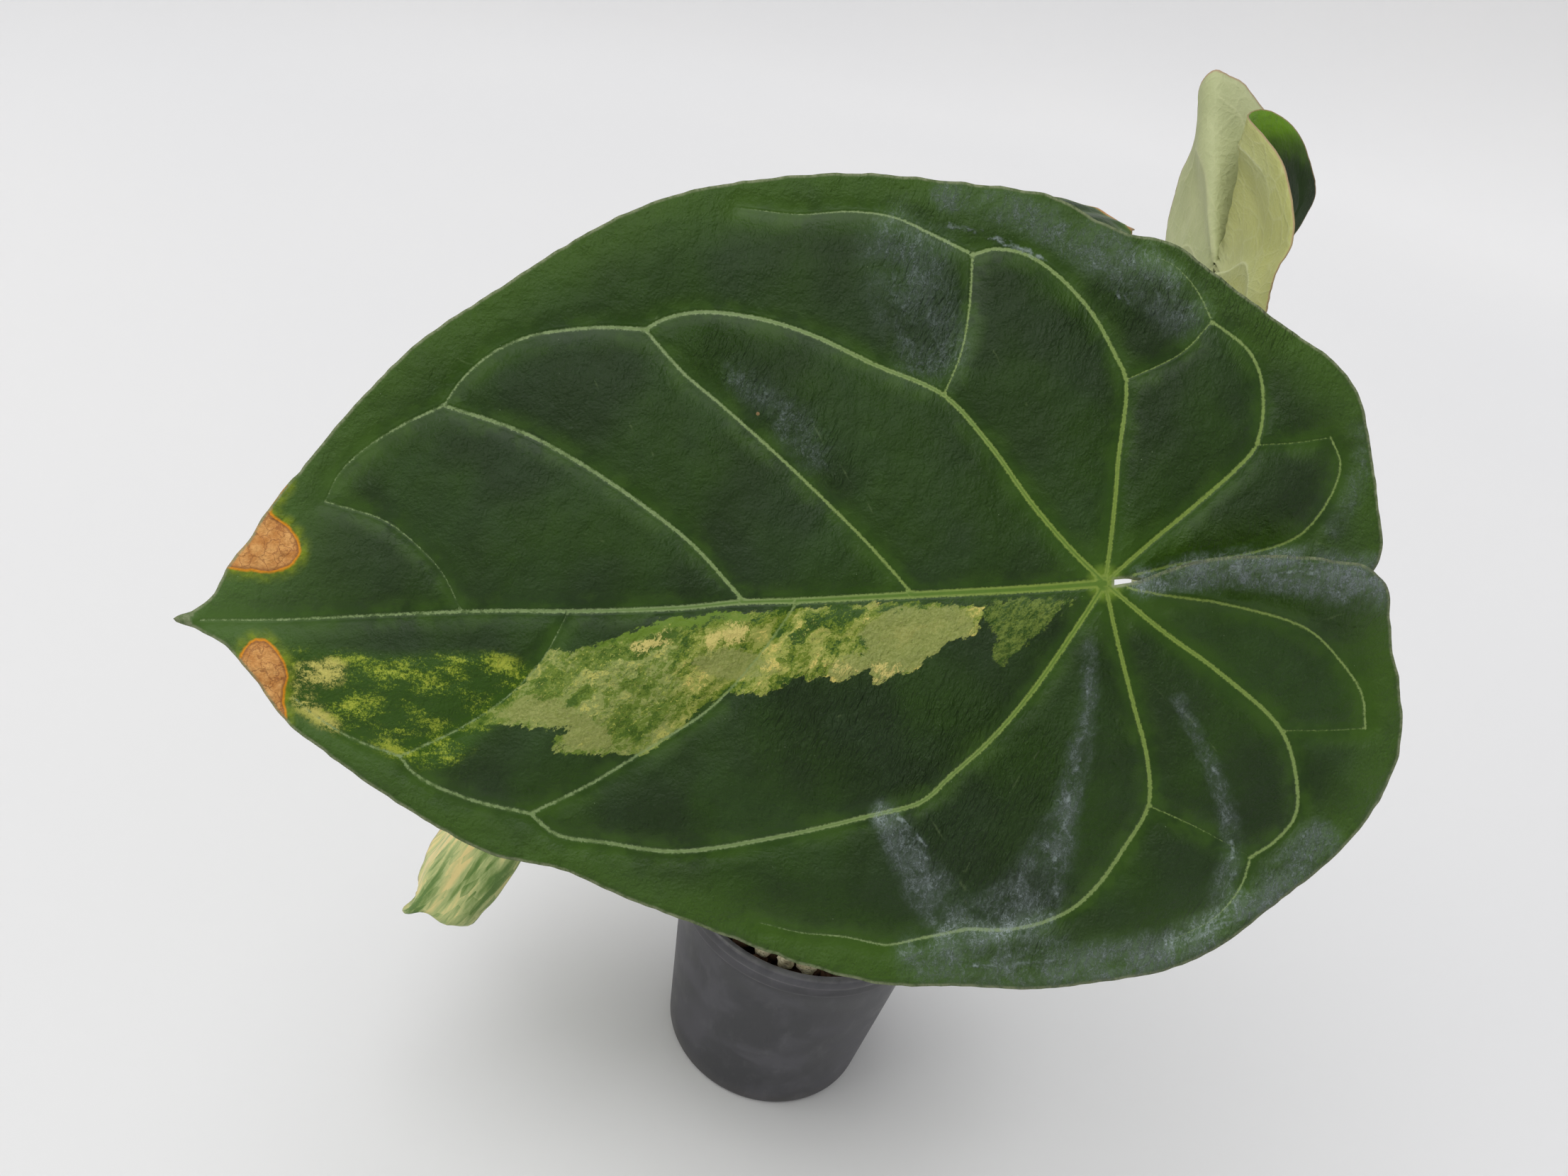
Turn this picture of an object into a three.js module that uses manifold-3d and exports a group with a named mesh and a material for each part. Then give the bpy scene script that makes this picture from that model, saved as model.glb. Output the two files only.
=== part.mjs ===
// A potted Anthurium hoffmannii: one large heart-shaped leaf that faces forward and up, three more leaves
// behind it, their petioles on a short rooted stem, and a black nursery pot filled with bark mix.
// Millimetres, +Z up. The origin is the centre of the pot's underside, and the big leaf faces -Y.
import * as THREE from "three";
import { mergeVertices } from "three/addons/utils/BufferGeometryUtils.js";
import Module from "manifold-3d";

const wasm = await Module();
wasm.setup();

const vector = ([x, y, z]) => new THREE.Vector3(x, y, z);
const RAD = Math.PI / 180;
const GAP = 0.3; // the clearance kept between pieces that touch

// Pot
const POT_HEIGHT = 109;
const RIM_RADIUS = 60;
const RIM_BAND = 12.5; // height of the stepped band at the top
const BODY_TOP_RADIUS = 57.2; // where the band starts
const BODY_FOOT_RADIUS = 48.4;
const POT_WALL = 1.6;
const FLOOR_THICKNESS = 2;
const FLOOR_RECESS = { inner: 20, outer: 41, depth: 1.2 };
const DRAIN = { count: 8, radius: 5, ring: 31 };

// Potting mix
const SOIL_TOP = 98;
const CHUNKS = 18;
const PUMICE = [
  // direction from the stem in degrees, distance, size
  [253, 46, 5.2],
  [266, 47.5, 4.4],
  [276, 46.5, 4.6],
  [310, 40, 5.5],
  [100, 38, 5.5],
  [20, 42, 4.6],
  [170, 36, 5],
];

// Stem and petioles
const STEM_RADIUS = 9;
const STEM_TOP = 124;
const STEM_FOOT = 60;
const PETIOLE = { base: 5, middle: 2.9, neck: 4, neckLength: 24 };

// Blades
const BLADE = 0.8; // thickness between the ribs
const RIB_UNDER = 1.3; // how far the midrib stands out below
const RIB_OVER = 0.25;
const LOBE_GAP = 0.93; // the share of the full turn that the lobes take when opened out

// The big leaf, in its own plane: u runs from the petiole to the tip and v towards the lower edge.
const FACE_TILT = 34; // how far the blade leans back from upright
const SIDE_TURN = 14.2; // how far the blade is turned in its own plane
const BIG_LEAF_AT = new THREE.Vector3(37.5, -109, 355);
const SEEN_FROM = new THREE.Vector3(83, 1, 307); // the outline is true from this point
const BIG_OUTLINE = [
  [-2.5, -0.6], [-10, -3.4], [-22, -4.4], [-40, -2.5], [-58, -0.5], [-69, -1.8], [-72.5, -8], [-71.6, -20],
  [-69.7, -35], [-66.5, -49], [-60, -58], [-48, -66.5], [-36, -75.5], [-25, -84], [-18, -88.8], [-6, -91.5],
  [3, -95.6], [12, -100.6], [22, -102.9], [42, -105.2], [64, -107.2], [88, -105.8], [108, -102.6],
  [126, -96.3], [142, -87.5], [160, -76], [180, -62.5], [191, -51.8], [200, -42], [209, -31], [217, -21.5],
  [224, -11], [229.5, -4], [232.5, 2.5], [238, 6.8], [243.4, 9.2], [237, 12], [230, 16], [222, 25],
  [214, 36], [203, 44.5], [190, 54], [172, 65], [160, 71], [142, 74.8], [127, 81.5], [110, 88], [93, 94.5],
  [76, 100.6], [58, 104.8], [38, 105.3], [18, 106], [-2, 103.8], [-17, 100.8], [-30, 95], [-43, 85],
  [-60, 71.5], [-71, 58], [-77, 44], [-77.3, 29], [-74.8, 14], [-74, 2], [-70, -3.5], [-58, -6.3],
  [-43, -7.2], [-27, -6.3], [-16, -3.3], [-9, -0.6], [-2.5, 0.6],
];
// Each vein: its width where it starts and ends, and the points that it passes.
const BIG_VEINS = [
  [3.2, 0.8, [[0, 0], [20, 1.5], [50, 3], [80, 4.5], [95, 4.9], [110, 6.3], [135, 7.2], [160, 7.1], [190, 8.2], [215, 9.3], [236, 9.4]]],
  [2.2, 1.6, [[0, 0], [10, -10], [20, -22], [30, -36], [42, -49], [60, -57], [77, -65], [90, -69], [105, -70.8], [114, -69.3], [120, -66.3]]],
  [1.8, 1.4, [[120, -66.3], [132, -66.8], [150, -64.5], [160, -60], [168, -53], [172.5, -46.5]]],
  [1.4, 0.8, [[172.5, -46.5], [184, -41], [194, -34.5], [200, -28.5], [203.5, -21.5]]],
  [1.8, 1.6, [[0, 0], [-2, -15], [-3.5, -32], [-5.5, -53], [-2.5, -60], [3, -70], [12, -80], [20, -85.5], [28, -87.2], [34.5, -85.8]]],
  [1.6, 1, [[34.5, -85.8], [45, -91], [55, -95.5], [66, -97], [80, -96.3], [95, -98]]],
  [0.9, 1.2, [[42, -49], [37.5, -60], [35.3, -72], [34.5, -85.8]]],
  [1.8, 1.4, [[0, 0], [-10, -9], [-22, -19], [-34, -29.5], [-39.5, -36], [-41.3, -50], [-38, -60], [-28, -68.3]]],
  [1.2, 0.8, [[-28, -68.3], [-24, -76.5], [-18, -83], [-11, -86]]],
  [0.9, 1, [[-5.5, -53], [-20, -60], [-28, -68.3]]],
  [1.4, 1, [[0, 0], [-20, -5.2], [-36, -7.5], [-50, -12], [-58, -21], [-61.5, -31], [-59, -38]]],
  [0.7, 0.7, [[-39.5, -36], [-50, -36.6], [-59, -38]]],
  [1.4, 1.4, [[50, 3], [62, -10.5], [75, -23.5], [86, -34], [100, -46.5], [110, -55], [120, -66.3]]],
  [1.6, 1.6, [[94, 4.9], [107, -9.5], [120, -20], [137, -31.5], [152, -39.5], [172.5, -46.5]]],
  [1, 1, [[168, 7.1], [173, -3], [180, -10.5], [188, -16.5], [203.5, -21.5]]],
  [2.2, 1.6, [[0, 0], [8, 12.5], [20, 29.5], [30, 41], [40, 50], [48, 57], [62, 60.8], [84, 65.8], [112, 69.9], [130, 67.6], [143, 65.5], [150, 60]]],
  [1.6, 1.4, [[150, 60], [166, 56.2], [180, 49.8], [184, 45]]],
  [1.4, 1, [[184, 45], [196, 40.5], [206, 34.5], [212, 29.5]]],
  [1.8, 1.6, [[0, 0], [-3, 14], [-7.5, 32], [-11, 46], [-11.2, 58], [-5, 69], [3, 80], [11, 86.3], [24, 90.2], [36, 90.2]]],
  [1.6, 1, [[36, 90.2], [48, 92.6], [57, 94.3], [68, 92.2], [80, 91], [90, 88.6]]],
  [2, 1.4, [[0, 0], [-15, 12.5], [-30, 23.5], [-46, 38.5], [-50, 52], [-49.5, 61], [-44, 67.6], [-38, 71.5]]],
  [1.3, 0.8, [[-38, 71.5], [-35.5, 79], [-29, 87], [-18, 93]]],
  [0.9, 1, [[-11.2, 58], [-24, 63.8], [-38, 71.5]]],
  [1.3, 1.1, [[0, 0], [-14, 2.6], [-32, 5.4], [-53, 12], [-62, 21], [-67, 29], [-68, 38]]],
  [0.7, 0.7, [[-46, 38.5], [-57, 38.5], [-68, 38]]],
  [1.4, 1.5, [[80, 4.5], [90, 18.5], [103, 32.5], [120, 43.5], [135, 52.6], [150, 60]]],
  [1.1, 1.3, [[140, 7.3], [147, 20], [156, 29.5], [168, 37.5], [184, 45]]],
];

// The other leaves share one pattern: half an outline and half a set of veins, as shares of the leaf's length.
const HALF_OUTLINE = [
  [-0.006, 0.002], [-0.07, 0.01], [-0.15, 0.016], [-0.21, 0.03], [-0.238, 0.075], [-0.238, 0.125],
  [-0.215, 0.175], [-0.165, 0.228], [-0.1, 0.275], [-0.02, 0.31], [0.08, 0.33], [0.19, 0.328],
  [0.3, 0.3], [0.41, 0.252], [0.52, 0.19], [0.61, 0.125], [0.67, 0.07], [0.705, 0.034], [0.73, 0.014],
];
const TIP = [0.76, 0];
const MIDRIB = [2.8, 0.8, [[0, 0], [0.25, 0], [0.5, 0], [0.72, 0]]];
const HALF_VEINS = [
  [1.8, 1.3, [[0, 0], [0.06, 0.085], [0.13, 0.163], [0.24, 0.2], [0.35, 0.212], [0.45, 0.188], [0.54, 0.142], [0.62, 0.078]]],
  [1.6, 1.1, [[0, 0], [-0.012, 0.08], [-0.028, 0.15], [0.01, 0.22], [0.08, 0.27], [0.18, 0.288], [0.28, 0.268]]],
  [1.6, 1.1, [[0, 0], [-0.055, 0.042], [-0.125, 0.105], [-0.148, 0.16], [-0.115, 0.215]]],
  [1.1, 0.9, [[0, 0], [-0.08, 0.016], [-0.155, 0.042], [-0.198, 0.088], [-0.2, 0.125]]],
  [1.2, 1.2, [[0.17, 0], [0.25, 0.085], [0.33, 0.155], [0.4, 0.205]]],
  [1.2, 1.2, [[0.31, 0], [0.39, 0.065], [0.47, 0.115], [0.54, 0.142]]],
];
// Places are the petiole's end; to is the way the tip points and face the way the upper side looks.
// A leaf is either bent about lines in its plane, or laid along rays from the petiole: for an angle in the flat
// leaf, where the margin stands along to, across and along face.
const LEAVES = [
  {
    name: "leaf_upper_right", length: 240, spacing: 11,
    at: [77.9, 51.1, 395.3], to: [0.004, -0.559, -0.829], face: [0, 0.829, -0.559],
    creases: [-138, -134, -131, -128, -125, -121, -116],
    rays: [
      [-172, -24, -28, 18], [-160, -42, -35, 25], [-150, -52, -33, 25], [-140, -65, -22, 20],
      [-133, -67, -7, 12], [-128, -59, 2, 2], [-122, -43, 1, -19], [-115, -25, 0, -39], [-105, 2, -1, -58],
      [-94, 15, 1, -62], [-76, 29, 2, -60], [-55, 48, 1, -50], [-38, 75, -3, -34], [-22, 104, -6, -12],
      [-11, 132, -8, 5], [0, 160, -9, 22], [11, 132, -10, 34], [22, 103, -9, 46], [38, 67, -6, 56],
      [55, 34, -1, 62], [76, -2, 4, 62], [94, -28, 9, 55], [112, -47, 10, 46], [126, -61, 11, 39],
      [139, -75, 16, 28], [146, -81, 13, 22], [152, -82, 6, 23], [157, -81, -1, 25], [162, -78, -8, 26],
      [167, -73, -15, 27], [173, -63, -20, 28],
    ],
    petiole: [[4, 4, 66], [8, 7, 150], [18, 14, 250], [40, 27, 340], [62, 41, 381]],
  },
  {
    name: "leaf_behind", length: 160, spacing: 10,
    at: [-40, 18, 387.5], to: [0.77, 0.62, 0.148], face: [-0.2, -0.1, 0.97],
    bends: [
      { at: [0, 4], along: 0, radius: 70, turn: -14 },
      { at: [0, -4], along: 180, radius: 70, turn: -14 },
      { at: [80, 0], along: -90, radius: 60, turn: -25 },
      { at: [-4, 0], along: 90, radius: 60, turn: -20 },
    ],
    petiole: [[-3, 5, 66], [-9, 12, 150], [-22, 22, 250], [-38, 24, 340], [-44, 19, 374]],
  },
  {
    name: "leaf_lower_left", length: 225, spacing: 11,
    at: [-94, -2, 217], to: [-0.386, -0.516, -0.765], face: [0.24, -0.68, 0.78],
    creases: [],
    bends: [
      { at: [60, 8], along: 0, radius: 7, turn: -125, ramp: 60 },
      { at: [0, 1], along: 180, radius: 13, turn: -76 },
      { at: [140, 0], along: -72, radius: 9, turn: -72 },
      { at: [-4, 0], along: 90, radius: 60, turn: -30 },
    ],
    petiole: [[-5, -1, 66], [-9, -1, 100], [-26, 1, 152], [-57, 1, 201], [-81, -1, 214]],
  },
];
const BIG_PETIOLE = [[0, -5, 66], [3, -9, 130], [9, -22, 205], [19, -46, 275], [31, -76, 325], [37, -96, 347]];

// A repeatable draw from 0 to 1.
let seed = 7;
function draw() {
  seed = (seed * 1664525 + 1013904223) % 4294967296;
  return seed / 4294967296;
}

function manifoldOf(geometry) {
  const bare = geometry.clone();
  bare.deleteAttribute("normal");
  bare.deleteAttribute("uv");
  const merged = mergeVertices(bare, 1e-4);
  return new wasm.Manifold(
    new wasm.Mesh({
      numProp: 3,
      vertProperties: new Float32Array(merged.attributes.position.array),
      triVerts: new Uint32Array(merged.index.array),
    }),
  );
}

function geometryOf(solid) {
  const mesh = solid.getMesh();
  const geometry = new THREE.BufferGeometry();
  geometry.setAttribute("position", new THREE.BufferAttribute(mesh.vertProperties.slice(), 3));
  geometry.setIndex(new THREE.BufferAttribute(mesh.triVerts.slice(), 1));
  return geometry;
}

// The largest piece of a solid that a cut may have left in several.
function largest(solid) {
  return solid.decompose().reduce((best, piece) => (piece.volume() > best.volume() ? piece : best));
}

// Points every step or so along a smooth curve through the given points, its ends included.
function along(points, step) {
  const curve = new THREE.CatmullRomCurve3(
    points.map(([x, y]) => new THREE.Vector3(x, y, 0)),
    false,
    "centripetal",
  );
  const count = Math.max(2, Math.round(curve.getLength() / step));
  return curve.getSpacedPoints(count).map((p) => [p.x, p.y]);
}

function toSegment([x, y], [ax, ay], [bx, by]) {
  const dx = bx - ax;
  const dy = by - ay;
  const share = Math.min(1, Math.max(0, ((x - ax) * dx + (y - ay) * dy) / (dx * dx + dy * dy + 1e-9)));
  return Math.hypot(ax + share * dx - x, ay + share * dy - y);
}

function toLine(point, line) {
  let best = Infinity;
  for (let i = 1; i < line.length; i += 1) best = Math.min(best, toSegment(point, line[i - 1], line[i]));
  return best;
}

function isInside([x, y], ring) {
  let inside = false;
  for (let i = 0, j = ring.length - 1; i < ring.length; j = i, i += 1) {
    const [xi, yi] = ring[i];
    const [xj, yj] = ring[j];
    if (yi > y !== yj > y && x < ((xj - xi) * (y - yi)) / (yj - yi) + xi) inside = !inside;
  }
  return inside;
}

// Delaunay triangles of points in a plane, by adding them one at a time.
function triangulate(points) {
  const far = 5000;
  const all = [...points, [-far, -far], [far, -far], [0, far]];
  const circle = (a, b, c) => {
    const [ax, ay] = all[a];
    const [bx, by] = [all[b][0] - ax, all[b][1] - ay];
    const [cx, cy] = [all[c][0] - ax, all[c][1] - ay];
    const d = 2 * (bx * cy - by * cx);
    const x = (cy * (bx * bx + by * by) - by * (cx * cx + cy * cy)) / d;
    const y = (bx * (cx * cx + cy * cy) - cx * (bx * bx + by * by)) / d;
    return { corners: d > 0 ? [a, b, c] : [a, c, b], x: ax + x, y: ay + y, reach: x * x + y * y };
  };
  let found = [circle(points.length, points.length + 1, points.length + 2)];
  points.forEach(([x, y], i) => {
    const edges = new Map();
    found = found.filter((t) => {
      if ((x - t.x) ** 2 + (y - t.y) ** 2 >= t.reach) return true;
      for (let k = 0; k < 3; k += 1) {
        const edge = [t.corners[k], t.corners[(k + 1) % 3]];
        const key = Math.min(...edge) * 1e5 + Math.max(...edge);
        if (edges.has(key)) edges.delete(key);
        else edges.set(key, edge);
      }
      return false;
    });
    for (const [a, b] of edges.values()) found.push(circle(a, b, i));
  });
  return found.map((t) => t.corners).filter((c) => c.every((i) => i < points.length));
}

// A leaf's plane opened out, so that lobes that overlap lie apart: the angle round the petiole shrinks.
function opened([u, v], angle) {
  const reach = Math.hypot(u, v);
  return [reach * Math.cos(angle * LOBE_GAP), reach * Math.sin(angle * LOBE_GAP)];
}

function flatPoint([x, y]) {
  const reach = Math.hypot(x, y);
  const angle = Math.atan2(y, x) / LOBE_GAP;
  return { u: reach * Math.cos(angle), v: reach * Math.sin(angle), angle, reach };
}

// An outline's points opened out, with the angle followed past the half turn.
function openedRing(ring) {
  let angle = -Math.PI;
  return ring.map(([u, v]) => {
    const bare = Math.atan2(v, u);
    angle = bare + 2 * Math.PI * Math.round((angle - bare) / (2 * Math.PI));
    return opened([u, v], angle);
  });
}

// The blade's points and triangles in the opened plane, with how far each point stands on a rib.
function bladeNet(outline, veins, { spacing, creases = [], flanks = false }) {
  const ring = openedRing(along(outline, spacing * (flanks ? 0.75 : 0.6)));
  const points = ring.map((place) => ({ place, rib: 0 }));
  const lines = veins.map(([start, end, path]) => {
    const line = along(path, spacing);
    return { start, end, line: line.map((p) => opened(p, Math.atan2(p[1], p[0]))) };
  });
  const isFree = (place, room) =>
    isInside(place, ring) &&
    toLine(place, [...ring, ring[0]]) > room * 0.6 &&
    points.every((p) => Math.hypot(p.place[0] - place[0], p.place[1] - place[1]) > room);
  const add = (place, rib, room) => {
    if (isFree(place, room)) points.push({ place, rib });
  };
  for (const { start, end, line } of lines)
    line.forEach((p, i) => add(p, (start + ((end - start) * i) / line.length) / MIDRIB[0], 2.2));
  for (const { start, end, line } of flanks ? lines : [])
    line.forEach((p, i) => {
      const [ax, ay] = line[Math.max(0, i - 1)];
      const [bx, by] = line[Math.min(line.length - 1, i + 1)];
      const run = Math.hypot(bx - ax, by - ay);
      const half = 0.9 * (start + ((end - start) * i) / line.length) + 0.5;
      for (const side of [-half, half]) {
        const place = [p[0] - ((by - ay) * side) / run, p[1] + ((bx - ax) * side) / run];
        if (lines.every((other) => toLine(place, other.line) > half * 0.9)) add(place, 0, 1.2);
      }
    });
  for (const crease of creases)
    for (let far = 16; far < 100; far += spacing * 0.8)
      add(opened([far * Math.cos(crease * RAD), far * Math.sin(crease * RAD)], crease * RAD), 0, 1.2);
  const reach = 300;
  for (let x = -reach; x < reach; x += spacing)
    for (let y = -reach; y < reach; y += spacing)
      add([x + (draw() - 0.5) * spacing * 0.3, y + (draw() - 0.5) * spacing * 0.3], 0, spacing * 0.62);
  const triangles = triangulate(points.map((p) => p.place)).filter((corners) => {
    const middle = [0, 1].map((k) => corners.reduce((sum, i) => sum + points[i].place[k], 0) / 3);
    return isInside(middle, ring);
  });
  return { points, triangles, lines: lines.map((l) => l.line), ring };
}

function normalsOf(points, triangles) {
  const normals = points.map(() => new THREE.Vector3());
  for (const [a, b, c] of triangles) {
    const normal = points[b].clone().sub(points[a]).cross(points[c].clone().sub(points[a]));
    for (const i of [a, b, c]) normals[i].add(normal);
  }
  return normals.map((normal) => normal.normalize());
}

// A closed blade: the middle surface, raised by its relief, moved out to both faces with a wall between.
function bladeGeometry(net, { surface, relief }, growth = 0) {
  const base = net.points.map((p) => surface(flatPoint(p.place), p, net));
  const lean = normalsOf(base, net.triangles);
  const middle = base.map((point, i) => {
    const height = relief(flatPoint(net.points[i].place), net.points[i], net);
    return point.clone().addScaledVector(lean[i], height);
  });
  const normals = normalsOf(middle, net.triangles);
  const count = middle.length;
  const positions = [];
  for (const side of [1, -1])
    middle.forEach((point, i) => {
      const rib = net.points[i].rib * (side > 0 ? RIB_OVER : RIB_UNDER);
      const away = side * (BLADE / 2 + rib + growth);
      const moved = point.clone().addScaledVector(normals[i], away);
      positions.push(moved.x, moved.y, moved.z);
    });
  const index = [];
  const edges = new Map();
  for (const [a, b, c] of net.triangles) {
    index.push(a, b, c, count + a, count + c, count + b);
    for (const [i, j] of [[a, b], [b, c], [c, a]]) {
      if (edges.has(j * 1e5 + i)) edges.delete(j * 1e5 + i);
      else edges.set(i * 1e5 + j, [i, j]);
    }
  }
  for (const [i, j] of edges.values()) index.push(i, count + i, j, j, count + i, count + j);
  const geometry = new THREE.BufferGeometry();
  geometry.setAttribute("position", new THREE.Float32BufferAttribute(positions, 3));
  geometry.setIndex(index);
  return geometry;
}

const smooth = (value, low, high) => THREE.MathUtils.smoothstep(value, low, high);

// The big leaf's surface: arched along and across, quilted between the veins, with the lower lobe lapping
// over the upper one at the cleft. A point that is lifted moves straight towards the viewing point.
function bigLeafSurface({ u, v, angle, reach }, { place }, net) {
  const degrees = angle / RAD;
  const fromVein = Math.min(...net.lines.map((line) => toLine(place, line)));
  const arch = -(u > 60 ? 0.0004 : 0.0008) * (u - 60) ** 2 - 0.0009 * v * v;
  const quilt = 2.4 * (1 - Math.exp(-((fromVein / 11) ** 2)));
  const lap = smooth(reach, 3, 26) * (9.5 * smooth(degrees, 158, 188) - 2.5 * smooth(-degrees, 150, 178));
  const lift = arch + quilt + lap;
  const flat = new THREE.Vector3(u, v, 0);
  return flat.addScaledVector(SEEN_FROM.clone().sub(flat), lift / SEEN_FROM.z);
}

// Bends a sheet about a line in its plane: what lies left of the line turns up, or down for a negative turn.
// With a ramp, the turn grows from nothing over that length of the line.
function bend(point, { at, along: way, radius, turn, ramp }) {
  const [dx, dy] = [Math.cos(way * RAD), Math.sin(way * RAD)];
  const [x, y] = [point.x - at[0], point.y - at[1]];
  const forward = x * dx + y * dy;
  const left = y * dx - x * dy;
  if (left <= 0) return point;
  const full = Math.abs(turn) * RAD * (ramp ? smooth(forward, 0, ramp) : 1);
  const angle = Math.min(left / radius, full);
  const rest = Math.max(0, left - radius * full);
  const sign = Math.sign(turn);
  const across = radius * Math.sin(angle) + rest * Math.cos(full) - sign * point.z * Math.sin(angle);
  const height = sign * (radius * (1 - Math.cos(angle)) + rest * Math.sin(full)) + point.z * Math.cos(angle);
  return new THREE.Vector3(at[0] + forward * dx - across * dy, at[1] + forward * dy + across * dx, height);
}

function bentSurface(bends) {
  return ({ u, v }) => bends.reduce(bend, new THREE.Vector3(u, v, 0));
}

// How far the outline reaches from the petiole in a direction of the flat leaf.
function reachAt(degrees, outline) {
  const [x, y] = [Math.cos(degrees * RAD), Math.sin(degrees * RAD)];
  let far = 0;
  for (let i = 1; i < outline.length; i += 1) {
    const [ax, ay] = outline[i - 1];
    const [dx, dy] = [outline[i][0] - ax, outline[i][1] - ay];
    const cross = x * dy - y * dx;
    const share = (y * ax - x * ay) / cross;
    const reach = (ax * dy - ay * dx) / cross;
    if (share >= 0 && share <= 1) far = Math.max(far, reach);
  }
  return far;
}

function rayedSurface(rays, outline) {
  const ways = rays.map(([angle, ...margin]) => vector(margin).divideScalar(reachAt(angle, outline)));
  const curve = new THREE.CatmullRomCurve3(ways, false, "catmullrom", 0.5);
  return ({ angle, reach }) => {
    const degrees = Math.min(rays.at(-1)[0], Math.max(rays[0][0], angle / RAD));
    const next = Math.max(1, rays.findIndex(([at]) => at >= degrees));
    const [from, to] = [rays[next - 1][0], rays[next][0]];
    const share = (next - 1 + (degrees - from) / (to - from)) / (rays.length - 1);
    return curve.getPoint(share).multiplyScalar(reach);
  };
}

// Quilting between the veins and a wavy margin.
function quilted({ angle }, { place }, net) {
  const fromVein = Math.min(...net.lines.map((line) => toLine(place, line)));
  const fromEdge = toLine(place, net.ring);
  return 1.6 * (1 - Math.exp(-((fromVein / 9) ** 2))) + 1.1 * Math.sin(angle * 9) * Math.exp(-fromEdge / 10);
}

// A tube through the given points, closed at both ends. size gives half its width and half its depth along it.
function sweep(points, size, sides, steps) {
  const curve = new THREE.CatmullRomCurve3(points, false, "centripetal");
  const frames = curve.computeFrenetFrames(steps, false);
  const positions = [];
  for (let i = 0; i <= steps; i += 1) {
    const centre = curve.getPointAt(i / steps);
    const [wide, deep] = size(i / steps);
    for (let k = 0; k < sides; k += 1) {
      const turn = (2 * Math.PI * k) / sides;
      const p = centre.clone();
      p.addScaledVector(frames.normals[i], wide * Math.cos(turn));
      p.addScaledVector(frames.binormals[i], deep * Math.sin(turn));
      positions.push(p.x, p.y, p.z);
    }
  }
  const index = [];
  for (let i = 0; i < steps; i += 1)
    for (let k = 0; k < sides; k += 1) {
      const [a, b] = [i * sides + k, i * sides + ((k + 1) % sides)];
      index.push(a, b, b + sides, a, b + sides, a + sides);
    }
  for (let k = 1; k < sides - 1; k += 1) {
    const last = steps * sides;
    index.push(0, k + 1, k, last, last + k, last + k + 1);
  }
  const geometry = new THREE.BufferGeometry();
  geometry.setAttribute("position", new THREE.Float32BufferAttribute(positions, 3));
  geometry.setIndex(index);
  return geometry;
}

// A petiole: thick at its base, slim in the middle, and swollen at the neck that carries the blade.
function petiole(path, end, growth = 0) {
  const points = [...path.map(vector), end];
  const length = new THREE.CatmullRomCurve3(points, false, "centripetal").getLength();
  const neckStart = 1 - PETIOLE.neckLength / length;
  const size = (share) => {
    const body = PETIOLE.middle + (PETIOLE.base - PETIOLE.middle) * (1 - smooth(share, 0, 0.45));
    const neck = (PETIOLE.neck - PETIOLE.middle) * smooth(share, neckStart - 0.02, neckStart + 0.02);
    const radius = body + neck + growth;
    return [radius, radius];
  };
  return manifoldOf(sweep(points, size, 8, 16));
}

function leafPlace(at, to, face) {
  const x = to.clone().normalize();
  const y = face.clone().cross(x).normalize();
  return new THREE.Matrix4().makeBasis(x, y, x.clone().cross(y)).setPosition(at);
}

function bigLeafPlace() {
  const up = new THREE.Vector3(0, Math.sin(FACE_TILT * RAD), Math.cos(FACE_TILT * RAD));
  const right = new THREE.Vector3(1, 0, 0);
  const [c, s] = [Math.cos(SIDE_TURN * RAD), Math.sin(SIDE_TURN * RAD)];
  const to = right.clone().multiplyScalar(-c).addScaledVector(up, -s);
  const face = right.clone().cross(up);
  return leafPlace(BIG_LEAF_AT, to, face);
}

// A blade and the petiole that carries it, cut so that it ends just under the blade.
function leaf(net, form, place, petiolePath) {
  const geometry = bladeGeometry(net, form).applyMatrix4(place);
  const grown = bladeGeometry(net, form, GAP * 1.4).applyMatrix4(place);
  const end = form.surface(flatPoint([3, 0]), { place: [3, 0], rib: 0 }, net).applyMatrix4(place);
  return {
    blade: geometry,
    petiole: largest(petiole(petiolePath, end).subtract(manifoldOf(grown))),
    socket: petiole(petiolePath, end, GAP),
  };
}

function bothHalves(length) {
  const scaled = (points, side) => points.map(([u, v]) => [u * length, v * length * side]);
  const outline = [
    ...scaled(HALF_OUTLINE, -1),
    [TIP[0] * length, TIP[1] * length],
    ...scaled(HALF_OUTLINE, 1).reverse(),
  ];
  const share = Math.sqrt(length / 320);
  const veins = [[MIDRIB, 1], ...[1, -1].flatMap((side) => HALF_VEINS.map((vein) => [vein, side]))].map(
    ([[start, end, path], side]) => [start * share, end * share, scaled(path, side)],
  );
  return { outline, veins };
}

// A lathe turned upright, with its profile given as radius and height.
function turned(profile, segments) {
  const points = profile.map(([radius, height]) => new THREE.Vector2(radius, height));
  return new THREE.LatheGeometry(points, segments).rotateX(Math.PI / 2);
}

const POT_SEGMENTS = 40;
// Outer radius of the pot's body at a height.
const bodyRadius = (z) => BODY_FOOT_RADIUS + ((BODY_TOP_RADIUS - BODY_FOOT_RADIUS) * z) / (POT_HEIGHT - RIM_BAND);

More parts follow.
